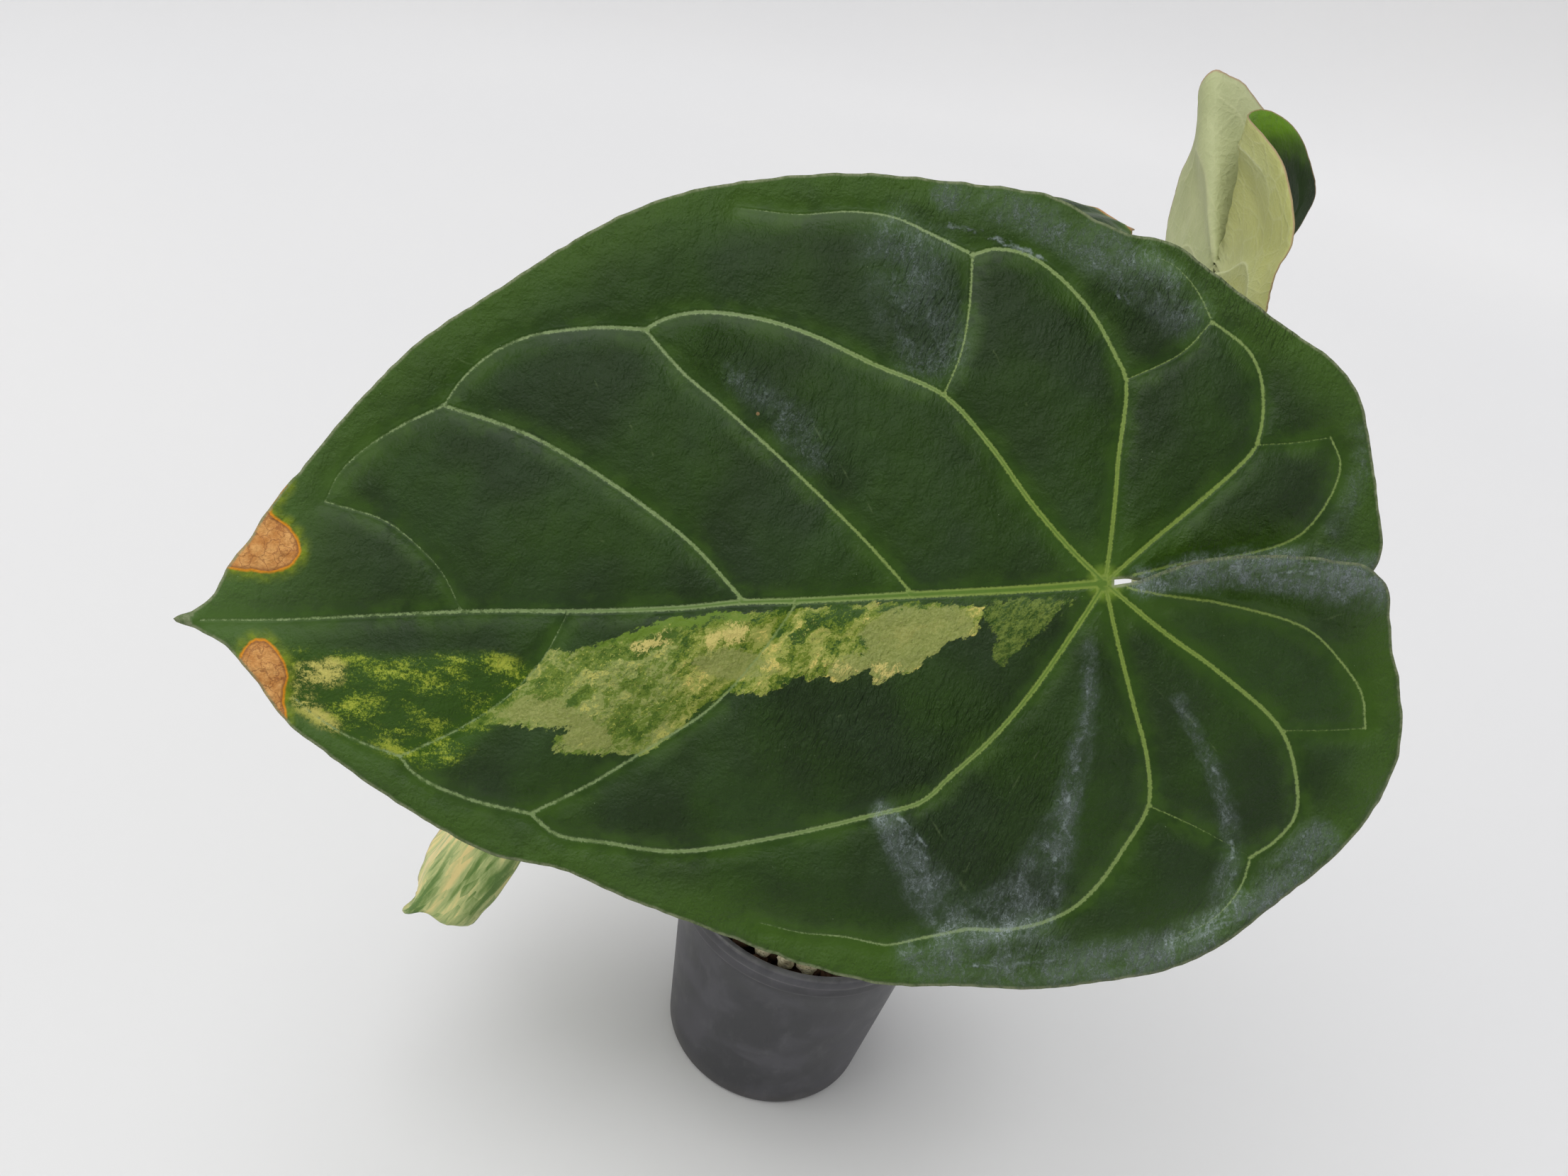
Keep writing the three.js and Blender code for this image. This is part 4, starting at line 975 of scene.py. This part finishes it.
def leather(paint, wrinkling=0.728, ridges=0.0):
    """The height of a pebbled, finely wrinkled skin, calm beside the veins."""
    lines = paint.stretched(22, (1, 0.22, 1), paint.wandering(12, 4))
    height = paint.noise(1.0, at=lines) * wrinkling + ridges
    height = height + paint.noise(0.8, 3, 0.65) * 0.36 + paint.noise(6) * 1.3
    return height * paint.from_vein.span(0.5, 6, 0.2, 1) + paint.vein.span(0.6, -0.3, 0, -0.12)


def big_leaf_green(paint):
    """Deep green, with faint bluish patches of painted sheen; lighter towards the margin, where painted sheen
    adds to a paler margin, and towards the tip, and in places along the veins.
    """
    patchy = paint.noise(10, 5, 0.62)
    paint.lay(DEEP)
    paint.lay(MIDDLE, paint.noise(42, 2).span(0.38, 0.62))
    # Faint bluish patches of painted sheen
    paint.lay((48, 70, 40), paint.noise(27, 3, 0.6, 0.5).span(0.44, 0.66) * 0.25)
    # Lighter towards the margin: a paler margin, brightened further as painted sheen
    paint.lay(LIGHT, paint.edge.span(19, 1) * patchy.span(0.25, 0.75, 0.3, 0.9))
    paint.lay(LIGHT, paint.from_vein.span(6.5, 1.2) * patchy.span(0.42, 0.62, 0.0, 0.45))
    paint.lay(DEEP, patchy.span(0.35, 0.65, 0.0, 0.3))
    paint.lay((70, 100, 38), paint.at.axis(0).span(180, 236, 0, 0.75))


def flecked(paint, jag):
    """A scatter of lime and yellow flecks, with a few cream blotches."""
    cluster = paint.noise(6.5, 4, 0.65, at=paint.stretched(8, (0.5, 1, 1)))
    flecks = paint.noise(0.9, 6, 0.95) + cluster * 0.8
    area = paint.read("fleck").span(2, -2.5)
    paint.lay((46, 78, 0), area * 0.9)
    paint.lay((118, 142, 24), area * flecks.span(0.935, 0.975))
    paint.lay((164, 172, 58), area * flecks.span(0.995, 1.03))
    cream = (paint.read("cream") + jag).span(1.6, -1.6)
    paint.lay((196, 188, 98), cream * area * flecks.span(0.86, 0.92))


def veined(paint, patch):
    """Pale veins, brightest at the petiole and broken towards the tip, with a darker middle line painted as
    the shade of a fine groove.
    """
    reach = paint.at.length()
    gaps = paint.noise(2.2, 5, 0.8).span(0.52, 0.44) * reach.span(95, 175, 0, 0.75)
    lines = vein_mask(paint, paint.vein) * (1.0 - patch * 0.35)
    lines = lines * (1.0 - gaps * paint.vein.span(-0.6, -0.3))
    tone = paint.mix(reach.span(130, 12), VEIN, (126, 147, 62))
    tone = paint.mix(paint.noise(1.4, 4, 0.75).span(0.42, 0.66, 0, 0.35), tone, (96, 122, 58))
    paint.lay((46, 76, 8), paint.from_vein.span(4, 0.8) * reach.span(90, 12, 0.1, 0.6))
    paint.lay((104, 132, 38), reach.span(6, 3, 0, 0.85))
    paint.lay(tone, lines)
    # A darker line along the middle of the wider veins: painted shade of a fine groove
    paint.lay((78, 112, 34), paint.from_vein.span(0.8, 0.2) * paint.vein.span(-0.3, -0.75, 0, 0.8))
    paint.lay(VEIN, vein_mask(paint, paint.read("veinlet"), 0.3, 0.5) * 0.26)


def specks(paint):
    """Sparse dust: tiny pale dots and a few brown ones."""
    pale = paint.cells(3.1).span(0.045, 0.03) * paint.cells(3.1, "Color").channel(0).span(0.86, 0.88)
    paint.lay((150, 170, 130), pale * 0.6)
    brown = paint.cells(21).span(0.026, 0.018) * paint.cells(21, "Color").channel(1).span(0.6, 0.62)
    paint.lay((150, 122, 82), brown)


def big_leaf_paint():
    paint = Paint("big_leaf_upper_side", leaf=True)
    big_leaf_green(paint)
    crooked = paint.stretched(STREAK_TURN, (0.5, 1, 1))
    jag = (paint.noise(2.2, 6, 0.75, at=crooked) - 0.5) * 6.5
    speckle = paint.noise(1.6, 6, 0.95, at=crooked).span(0.44, 0.56)
    olive = (paint.read("olive") + jag * 1.5).span(0.2, -0.2)
    paint.lay(paint.mix(speckle, (46, 76, 6), (112, 130, 50)), olive * 0.9)
    flecked(paint, jag)
    patch = (paint.read("patch") + jag).span(0.1, -0.1)
    variegated(paint, patch)
    veined(paint, patch)
    specks(paint)
    # Painted sheen and painted crest highlights over the colours laid so far
    painted_sheen_strength, sheen_veil = painted_sheen(paint)
    scorched(paint)
    rim = paint.edge.span(1.0, 0.3) * paint.noise(2, 4, 0.7).span(0.35, 0.6, 0.3, 0.85)
    paint.lay((140, 148, 112), rim)
    rough = paint.noise(20, 3).span(0.3, 0.7, 0.34, 0.46) - painted_sheen_strength * 0.06
    skin = leather(paint, paint.read("crease").span(0, 1, 0.2, 1.7), sheen_veil * 0.5)
    return paint.finish(rough, 0.23, skin, 1.5)


def small_leaf_paint(name, deep, middle, light, young):
    """A dark upper side: with a bright end on the young leaf, and a brown tip on the other."""
    paint = Paint(name, leaf=True)
    broad = paint.noise(24, 3)
    paint.lay(deep)
    paint.lay(middle, broad.span(0.35, 0.68))
    paint.lay(light, paint.edge.span(16, 1) * broad.span(0.3, 0.6, 0.3, 0.9))
    paint.lay(light, paint.from_vein.span(6, 1.2) * 0.35)
    paint.lay(paint.mix(0.5, light, VEIN), vein_mask(paint, paint.vein))
    if young:
        paint.lay(deep, 0.75)
        paint.lay((98, 140, 8), paint.wandering(8, 12).axis(1).span(-32, -46, 0, 0.95))
    else:
        scorched(paint)
    paint.lay((168, 140, 104), paint.edge.span(0.7, 0.1, 0, 0.8))
    return paint.finish(0.42, 0.25, leather(paint), 1.2)


def under_paint(name, dull, pale, veins, margin, warm=0.0):
    """The pale underside: matt, with raised veins and a faint net between them."""
    paint = Paint(name, leaf=True)
    net = paint.net(6.5, paint.stretched(25, (1, 0.8, 1)))
    fine = paint.net(1.7)
    paint.lay(dull)
    paint.lay(pale, paint.noise(34, 3).span(0.32, 0.68))
    paint.lay((178, 176, 84), paint.at.axis(1).span(15, -25, 0, warm))
    paint.lay(dull, paint.from_vein.span(9, 0.8, 0, 0.3))
    paint.lay(veins, net.span(0.06, 0.0, 0, 0.2))
    paint.lay(veins, fine.span(0.09, 0.0, 0, 0.14))
    paint.lay(veins, vein_mask(paint, paint.vein, 0.5, 0.4) * 0.75)
    paint.lay((120, 140, 84), paint.noise(5, 5, 0.7) * 0.12)
    paint.lay(margin, paint.edge.span(0.9, 0.15, 0, 0.85))
    height = net.span(0.14, 0.0, 0, 0.3) + fine.span(0.2, 0.0, 0, 0.15) + paint.noise(1.4, 4, 0.6) * 0.5
    return paint.finish(0.6, 0.25, height, 0.3)


def streaked_paint(name, wash):
    """A leaf variegated along its length in cream, yellow-green and green."""
    paint = Paint(name, leaf=True)
    broad = paint.noise(6.5, 4, 0.6, 0.25, paint.stretched(0, (0.16, 1, 1)))
    block = paint.cells(2.2, "Color", paint.stretched(6, (0.2, 1, 1))).channel(0)
    side = paint.at.axis(1).span(-6, -22, 0, 0.21)
    paint.lay(paint.steps(broad * 1.25 + block * 0.18 + side - 0.2, STREAK_TONES))
    paint.lay((166, 172, 120), wash)
    paint.lay((156, 176, 112), vein_mask(paint, paint.vein) * 0.5)
    paint.lay((190, 180, 130), paint.edge.span(0.7, 0.1, 0, 0.7))
    return paint.finish(0.5, 0.3, leather(paint), 0.7)


def petiole_paint():
    """Green, ruddy at the base and paler at the swollen neck, with fine lines along it and pale flecks."""
    paint = Paint("petiole_skin")
    along, around = paint.read("along"), paint.read("around")
    rolled = {0: paint.math("SINE", around) * 3.0, 1: paint.math("COSINE", around) * 3.0, 2: along * 0.03}
    stripe = paint.noise(0.5, 3, 0.6, at=paint.out("CombineXYZ", rolled))
    fleck = paint.cells(1.5, at=paint.stretched(0, (1, 1, 0.45)))
    paint.lay((72, 104, 42))
    paint.lay((108, 140, 62), stripe.span(0.35, 0.65))
    paint.lay((96, 84, 50), along.span(60, 8, 0, 0.65))
    paint.lay((120, 152, 70), paint.read("to_end").span(26, 21, 0, 0.7))
    paint.lay((168, 176, 122), fleck.span(0.22, 0.12, 0, 0.35))
    return paint.finish(0.46, 0.4, stripe * 0.6 + fleck.span(0.25, 0.1, 0, 0.3), 0.25)


def stem_paint():
    paint = Paint("stem_skin")
    rings = paint.noise(2.0, 4, 0.65, at=paint.stretched(0, (0.12, 0.12, 1)))
    paint.lay((92, 98, 50))
    paint.lay((112, 92, 62), paint.noise(6, 4, 0.6).span(0.4, 0.62))
    paint.lay((74, 56, 38), rings.span(0.5, 0.66, 0, 0.7))
    return paint.finish(0.78, 0.25, rings + paint.noise(0.8, 4, 0.7) * 0.5, 0.5)


def bract_paint():
    """Dry papery sheath with fibres along it."""
    paint = Paint("dry_bract")
    fibre = paint.noise(0.7, 4, 0.7, at=paint.stretched(12, (1, 1, 0.06)))
    paint.lay((104, 70, 40))
    paint.lay((172, 132, 86), fibre.span(0.35, 0.65))
    paint.lay((82, 52, 32), paint.noise(9, 4, 0.6).span(0.45, 0.7, 0, 0.6))
    return paint.finish(0.86, 0.2, fibre, 0.35)


def bark_paint():
    """Dark bark. Each chip has its own tone."""
    paint = Paint("bark_chips")
    fibre = paint.noise(0.9, 5, 0.7, at=paint.stretched(30, (0.25, 1, 0.6)))
    paint.lay(BARK)
    paint.lay((92, 66, 48), (paint.read("tone") + paint.noise(5, 5, 0.62)) * 0.5)
    paint.lay(BARK, fibre.span(0.5, 0.7, 0, 0.5))
    return paint.finish(0.92, 0.2, fibre + paint.noise(0.5, 3, 0.7) * 0.5, 0.5)


def pumice_paint():
    paint = Paint("pumice_stone")
    pores = paint.cells(0.9)
    paint.lay((186, 174, 140))
    paint.lay((222, 212, 182), paint.noise(3, 4, 0.6).span(0.35, 0.65))
    paint.lay((120, 104, 76), pores.span(0.28, 0.12, 0, 0.6))
    return paint.finish(0.94, 0.2, pores.span(0.12, 0.4) + paint.noise(0.5, 3, 0.7), 0.4)


def pot_paint():
    """Charcoal moulded plastic with a fine grain, faint draw marks and dust, pale edge lines that are painted
    highlights with dust on them, and a painted shadow under the band.
    """
    paint = Paint("pot_plastic")
    height = paint.at.axis(2)
    blotch = paint.noise(26, 4, 0.6, 0.4)
    haze = paint.noise(7, 5, 0.65, at=paint.stretched(0, (1, 1, 0.5)))
    paint.lay((25, 25, 32))
    paint.lay((66, 65, 71), blotch.span(0.4, 0.68))
    paint.lay((92, 91, 95), haze.span(0.5, 0.75, 0, 0.3))
    paint.lay((92, 88, 84), height.span(12, 0, 0, 0.3))
    # Pale lines at the band's foot, the bead and the lip: painted highlights on the rounded edges, with dust
    for edge, strength in ((BAND_FOOT + 0.6, 0.5), (POT_HEIGHT - 5.3, 0.4), (POT_HEIGHT - 0.4, 0.35)):
        edge_highlight_and_dust = abs(height - edge).span(0.8, 0.1, 0, strength)
        paint.lay((132, 130, 130), edge_highlight_and_dust * haze.span(0.35, 0.6, 0.4, 1))
    # A darker band just below the band's foot: painted shadow under its overhang
    paint.lay((28, 28, 32), abs(height - (BAND_FOOT - 2)).span(2.6, 0.4, 0, 0.5))
    marks = paint.noise(0.9, 3, 0.6, at=paint.stretched(0, (1, 1, 0.03)))
    relief = marks * 0.35 + paint.noise(0.35, 2, 0.6) * 0.3
    return paint.finish(blotch.span(0.35, 0.7, 0.34, 0.52), 0.7, relief, 0.12)


def floor_paint():
    paint = Paint("pale_floor")
    paint.lay((228, 228, 229))
    paint.lay((234, 233, 232), paint.noise(900, 2))
    return paint.finish(0.9, 0.1)


# Leaves


def blade(name, slot, net, middle, matrix, materials, own):
    """A leaf's blade. What its material reads is the same on both faces."""
    points, faces, kinds = blade_solid(net, middle, matrix)
    fields = {"leaf_mm": np.column_stack([net["flat"], np.zeros(len(net["flat"]))]), **own}
    fields.update({key: net[key] for key in ("edge", "vein", "from_vein")})
    fields = {key: np.concatenate([values, values]) for key, values in fields.items()}
    placed(mesh_piece(name + "_blade", points, faces, materials, kinds, fields), slot, name)


def big_leaf(materials):
    net = blade_net(BIG_OUTLINE, BIG_VEINS, 1.9, 11)
    flat = net["flat"]
    own = {key: to_regions(flat, rings) for key, rings in REGIONS.items()}
    # How strongly painted sheen lies at each point, and how finely creased the skin is
    own["painted_sheen_strength"], own["crease"] = strength_along(flat, SHEEN_PATHS), strength_along(flat, CREASES)
    own["crest_highlight"] = nearest_line(flat, CREST_HIGHLIGHTS)
    own["veinlet"] = nearest_line(flat, BIG_VEINLETS) - VEINLET_HALF
    blade("leaf_big", "leaf_dark", net, big_leaf_surface(net), big_leaf_matrix(), materials, own)


def small_leaf(side, length, matrix, shape, seed, slot, materials, path, skin, scorch_from=None):
    """A leaf of the shared pattern, laid out by its shape, and its petiole along a path that ends at it."""
    outline, veins = both_halves(length)
    net = blade_net(outline, veins, 2.3, seed)
    middle = with_relief(net, shape(net, outline), seed)
    own = {} if scorch_from is None else {"scorch": scorch_from - net["flat"][:, 0]}
    blade("leaf_" + side, slot, net, middle, matrix, materials, own)
    near = {"flat": np.array([[3.0, 0]]), "angle": np.zeros(1), "reach": np.array([3.0])}
    petiole("petiole_" + side, path, matrix[:3, :3] @ shape(near, outline)[0] + matrix[:3, 3], skin)


def petiole(name, path, end, skin):
    """Thicker at its foot and at its neck below the blade, with a shallow groove where the neck starts."""
    line = curve([*path, tuple(end)], 2.5)
    run = run_along(line)
    length = run[-1]
    neck_start = 1 - NECK_LENGTH / length
    size = PETIOLE_MIDDLE + (PETIOLE_FOOT - PETIOLE_MIDDLE) * (1 - smooth(run / length, 0, 0.45))
    size = size + (PETIOLE_NECK - PETIOLE_MIDDLE) * smooth(run / length, neck_start - 0.02, neck_start + 0.02)
    size = size * (1 - 0.12 * np.exp(-(((length - run - NECK_LENGTH) / 1.6) ** 2)))
    size = size * (1 - 0.5 * smooth(run, length - 5, length)) + 0.05 * ripples_along(run, 9, len(name))
    points, faces, around, along = tube(line, size, 22)
    fields = {"along": along, "around": around, "to_end": length - along}
    placed(mesh_piece(name + "_skin", points, faces, [skin], None, fields), "petiole", name)


def leaves_and_petioles():
    top = big_leaf_paint()
    under = under_paint("leaf_underside", (132, 152, 98), (158, 174, 124), (186, 198, 150), (176, 152, 116))
    pale = under_paint(
        "pale_underside", (172, 178, 130), (192, 197, 149), (204, 207, 160), (176, 144, 116), warm=0.6,
    )
    inner = small_leaf_paint("young_upper_side", (16, 34, 0), (28, 50, 0), (50, 84, 2), True)
    dark = small_leaf_paint("dark_upper_side", (26, 46, 18), (36, 62, 20), (58, 88, 26), False)
    streaked = streaked_paint("streaked_upper_side", 0.0)
    washed = streaked_paint("streaked_underside", 0.45)
    skin = petiole_paint()
    big_leaf([top, under])
    petiole("petiole_big", BIG_PETIOLE[:-1], BIG_PETIOLE[-1], skin)
    small_leaf(
        "upper_right", 240, leaf_matrix((77.9, 51.1, 395.3), (0.004, -0.559, -0.829), (0, 0.829, -0.559)),
        lambda net, outline: rayed_surface(net, RAYS_UPPER_RIGHT, outline), 21, "leaf_pale", [inner, pale],
        [(4, 4, 66), (8, 7, 150), (18, 14, 250), (40, 27, 340), (62, 41, 381)], skin,
    )
    small_leaf(
        "behind", 160, leaf_matrix((-40, 18, 387.5), (0.77, 0.62, 0.148), (-0.2, -0.1, 0.97)),
        lambda net, outline: bent_surface(net, BENDS_BEHIND), 31, "leaf_dark", [dark, under],
        [(-3, 5, 66), (-9, 12, 150), (-22, 22, 250), (-38, 24, 340), (-44, 19, 374)], skin, scorch_from=106,
    )
    small_leaf(
        "lower_left", 225, leaf_matrix((-94, -2, 217), (-0.386, -0.516, -0.765), (0.24, -0.68, 0.78)),
        lambda net, outline: nudged(bent_surface(net, BENDS_LOWER_LEFT), NUDGES_LOWER_LEFT), 41,
        "leaf_variegated", [streaked, washed],
        [(-5, -1, 66), (-9, -1, 100), (-26, 1, 152), (-57, 1, 201), (-81, -1, 214)], skin,
    )


# Stem, bracts, mix and pot


def stem():
    """A ringed stem with four short roots that bend down into the mix."""
    heights = np.linspace(STEM_FOOT, STEM_TOP, 60)
    scars = 0.9 * np.exp(-(((heights - STEM_FOOT) % 8 - 4) ** 2) / 1.1)
    taper = 2.6 * smooth(heights, STEM_TOP - 8, STEM_TOP)
    radii = STEM_RADIUS - 0.4 + scars - taper + 0.2 * ripples_along(heights, 9, 2)
    parts = [turned([(0, STEM_FOOT), *zip(radii, heights), (0, STEM_TOP)], 36)]
    for i, turn in enumerate((15, 95, 205, 320)):
        x, y = direction(turn)
        near, far = 17 + 3 * (i % 2), 26 + 2 * (i % 3)
        root = ((4, 107 - i), (11, 108 - i), (near, 102 - i), (far, 84))
        line = curve([(x * out, y * out, z) for out, z in root], 1.2)
        share = np.linspace(0, 1, len(line))
        parts.append(tube(line, 2.5 - 0.2 * i - share + 0.12 * ripples_along(share * 30, 5, i), 14)[:2])
    points, faces = joined(parts)
    placed(mesh_piece("stem_skin", points, faces, [stem_paint()]), "stem", "stem")


def bract(i, turn, foot, height, lean, material):
    """A cupped papery strip that stands beside the stem and leans away from it."""
    x, y = direction(turn)
    out, side = np.array((x, y, 0)), np.array((-y, x, 0))
    start = STEM_RADIUS + 2.4
    rise = ((0, 0), (1.5, 0.4), (lean * 0.6, 0.75), (lean, 1))
    line = curve([(x * (start + r), y * (start + r), foot + height * z) for r, z in rise], 1.5)
    share, across = np.linspace(0, 1, len(line))[:, None], np.linspace(-1, 1, 15)
    wide = 6.2 * np.sin(math.pi * (0.16 + 0.8 * share)) + 0.4
    wide = wide * (1 + 0.08 * ripples_along(share * 40, 7, i))
    cup = 2.2 * across**2 * smooth(share, 1.2, 0.2)
    middle = line[:, None] + (wide * across)[..., None] * side - cup[..., None] * out
    crumple = 0.25 * ripples(share * 40 + across * 6, across * 9 + share, 6, i + 5)
    middle = (middle + crumple[..., None] * out).reshape(-1, 3)
    rows, columns = len(line), len(across)
    corners = [r * columns + c for r in range(rows - 1) for c in range(columns - 1)]
    faces = [(a, a + k, a + columns + m) for a in corners for k, m in ((1, 1), (columns + 1, 0))]
    net = {"faces": np.array(faces), "edge": np.full(len(middle), 9.0), "rib": np.zeros(len(middle))}
    points, every, _ = blade_solid(net, middle, np.eye(4))
    placed(mesh_piece(f"bract_{i + 1}_sheath", points, every, [material]), "bract", f"bract_{i + 1}")


def bracts():
    material = bract_paint()
    for i, (turn, foot, height, lean) in enumerate(BRACTS):
        bract(i, turn, foot, height, lean, material)


def lump(rng, size, detail, roughness, squash=(1, 1, 1)):
    """An irregular stone or chip: a round mesh pushed in and out, with a few flattened sides."""
    shape = bmesh.new()
    bmesh.ops.create_icosphere(shape, subdivisions=detail, radius=1)
    points = np.array([tuple(v.co) for v in shape.verts])
    faces = [[v.index for v in f.verts] for f in shape.faces]
    shape.free()
    for _ in range(7):
        side = rng.normal(size=3)
        side /= np.linalg.norm(side)
        over = np.maximum(0, points @ side - rng.uniform(0.55, 0.85))
        points = points - over[:, None] * side * 0.9
    for _ in range(4):
        way, phase = rng.normal(size=3) * 2.6, rng.uniform(0, 6)
        points = points * (1 + roughness * 0.25 * np.sin(points @ way + phase))[:, None]
    turn = Matrix.Rotation(rng.uniform(0, 6.28), 3, Vector(rng.normal(size=3)))
    return (points * squash) @ np.array(turn).T * size, faces


def body_radius(z):
    """The pot's outer radius below its band."""
    return FOOT_RADIUS + (TOP_RADIUS - FOOT_RADIUS) * z / BAND_FOOT


def spot(rng, reach, least=0.0):
    """A random place on a disc: its distance from the middle, and x and y."""
    out, turn = reach * math.sqrt(rng.uniform(least, 1)), rng.uniform(0, 2 * math.pi)
    return out, out * math.cos(turn), out * math.sin(turn)


def bark_chips(rng):
    """A dark core heaped with chips that keep apart from each other and from the stem, and their tones."""
    profile = [(body_radius(z) - POT_WALL - 0.4, z) for z in (POT_FLOOR, 92)]
    core = turned([(0, POT_FLOOR), *profile, (40, 94), (14, 96), (0, 97)], 64)
    parts, tones = [core], [np.full(len(core[0]), 0.1)]
    places = Places(6.0)
    for _ in range(CHIP_TRIES):
        out, x, y = spot(rng, HEAP_RADIUS)
        if out < STEM_ROOM:
            continue
        size = rng.uniform(2.2, 5.4)
        if not places.add(x, y, size * 0.75) or out + size > HEAP_REACH:
            continue
        points, faces = lump(rng, size, 2, 0.35, (1.2, rng.uniform(0.55, 0.95), rng.uniform(0.35, 0.7)))
        z = 97.5 + 2.5 * (1 - out / 54) + rng.uniform(-2.5, 3.2)
        top = min(HEAP_TOP, z + 4.5) - (z + points[:, 2].max())
        parts.append((points + (x, y, z + min(0, top)), faces))
        tones.append(np.full(len(points), rng.uniform(0, 1)))
    return parts, tones


def soil():
    """Bark chips with small perlite grains between them, and pumice lumps on top."""
    rng = np.random.default_rng(5)
    parts, tones = bark_chips(rng)
    piece = mesh_piece("soil_mix", *joined(parts), [bark_paint()], None, {"tone": np.concatenate(tones)})
    placed(piece, "soil", "soil")
    stone = pumice_paint()
    grains = []
    for _ in range(GRAINS):
        _, x, y = spot(rng, 52, 0.08)
        points, faces = lump(rng, rng.uniform(1.1, 2.2), 2, 0.3)
        grains.append((points + (x, y, 101.8 + rng.uniform(-1.0, 1.6)), faces))
    placed(mesh_piece("perlite_grains", *joined(grains), [stone]), "pumice")
    for i, (turn, out, size) in enumerate(PUMICE):
        points, faces = lump(rng, size, 3, 0.3, (1, 0.92, 0.88))
        x, y = direction(turn)
        points = points + (out * x, out * y, SOIL_TOP + 4.5)
        piece = mesh_piece(f"pumice_stone_{i + 1}", points, faces, [stone])
        placed(piece, "pumice", f"pumice_{i + 1}")


def pot_profile():
    """Radius and height from the middle of the underside round the foot, band and lip to the floor."""
    foot, ring, shoulder = BAND_FOOT, body_radius(0), body_radius(BAND_FOOT)
    under = [(0, 0), (20, 0), (20.6, 0.3), (21.2, 1.2), (41, 1.2), (41.6, 0.3), (42.2, 0)]
    corner = [(ring - 2.4, 0), (ring - 1.2, 0.15), (ring - 0.4, 0.7), (body_radius(1.6), 1.8)]
    outside = [(body_radius(z), z) for z in (3, 20, 50, 80)]
    step = [(shoulder - 0.1, foot - 0.6), (shoulder + 0.3, foot)]
    step += [(RIM_RADIUS - 1.7, foot + 0.15), (RIM_RADIUS - 1.2, foot + 0.7)]
    lip = [(RIM_RADIUS - inset, POT_HEIGHT - down) for inset, down in LIP]
    inside_lip = [(shoulder - POT_WALL + 0.3, foot + 1), (shoulder - POT_WALL, foot - 0.5)]
    within = [(body_radius(z) - POT_WALL, z) for z in (60, 30, POT_FLOOR)]
    return [*under, *corner, *outside, *step, *lip, *inside_lip, *within, (0, POT_FLOOR)]


def pot():
    """Thin moulded pot: tapered wall, a stepped band below the lip, a foot ring and drain holes."""
    piece = mesh_piece("pot_shell", *turned(pot_profile(), 144), [pot_paint()])
    drains = []
    for i in range(DRAINS):
        x, y = direction(360 * i / DRAINS)
        cutter, sides = turned([(0, -5), (DRAIN_RADIUS, -5), (DRAIN_RADIUS, 8), (0, 8)], 32)
        drains.append((cutter + (DRAIN_RING * x, DRAIN_RING * y, 0), sides))
    tool = mesh_piece("drain_cutter", *joined(drains), [])
    cut = piece.modifiers.new("drains", "BOOLEAN")
    cut.object, cut.operation, cut.solver = tool, "DIFFERENCE", "EXACT"
    mesh = bpy.data.meshes.new_from_object(piece.evaluated_get(bpy.context.evaluated_depsgraph_get()))
    piece.modifiers.clear()
    piece.data = mesh
    bpy.data.objects.remove(tool)
    mesh.polygons.foreach_set("use_smooth", np.ones(len(mesh.polygons), bool))
    shape = bmesh.new()
    shape.from_mesh(mesh)
    for edge in shape.edges:
        if len(edge.link_faces) == 2 and edge.calc_face_angle() > math.radians(42):
            edge.smooth = False
    shape.to_mesh(mesh)
    shape.free()
    placed(piece, "pot", "pot")


# Camera, floor and light


def camera():
    (level, down), (turn, lean) = direction(CAMERA_PITCH), direction(CAMERA_ROLL)
    across, up = np.array((1.0, 0, 0)), np.array((0, down, level))
    right, top = turn * across + lean * up, turn * up - lean * across
    matrix = np.eye(4)
    matrix[:3] = np.column_stack([right, top, (0, -level, down), np.array(CAMERA_AT) * MM])
    data = bpy.data.cameras.new("camera")
    data.lens, data.sensor_width, data.sensor_fit = CAMERA_LENS, CAMERA_SENSOR, "HORIZONTAL"
    data.clip_start, data.clip_end = 0.02, 50
    eye = shown("camera", data)
    eye.matrix_world = Matrix(matrix)
    bpy.context.scene.camera = eye


def stage():
    """A pale floor that curves up into a wall all round."""
    flat, bend_radius, wall = 2400, 900, 2400
    profile = [(0, FLOOR_HEIGHT), (700, FLOOR_HEIGHT), (flat, FLOOR_HEIGHT)]
    for turn in np.linspace(0, 90, 16)[1:]:
        down, out = direction(turn)
        profile.append((flat + bend_radius * out, FLOOR_HEIGHT + bend_radius * (1 - down)))
    points, faces = turned([*profile, (flat + bend_radius, wall)], 96)
    mesh_piece("floor", points, [face[::-1] for face in faces], [floor_paint()])


def light(name, kind, at, power, colour, **settings):
    """A light that looks from its place at the middle of the plant."""
    data = bpy.data.lights.new(name, kind)
    data.energy, data.color = power, colour
    for key, value in settings.items():
        setattr(data, key, value)
    lamp = shown(name, data)
    lamp.location = at
    lamp.rotation_euler = (Vector((0, 0, 0.25)) - Vector(at)).to_track_quat("-Z", "Y").to_euler()


def lights():
    scene = bpy.context.scene
    scene.world = bpy.data.worlds.new("studio")
    scene.world.use_nodes = True
    colour, strength = list(scene.world.node_tree.nodes["Background"].inputs)[:2]
    colour.default_value, strength.default_value = (0.97, 0.98, 1, 1), 0.42
    light("overhead", "SUN", (-0.7, -0.3, 3), 1.65, (0.99, 0.992, 1), angle=math.radians(55))
    light("side", "AREA", (-2.1, -0.9, 1.6), 11, (1, 0.985, 0.96), size=1.6)
    scene.view_settings.view_transform = "Standard"
    scene.view_settings.look = "None"


camera()
stage()
lights()
leaves_and_petioles()
stem()
bracts()
soil()
pot()
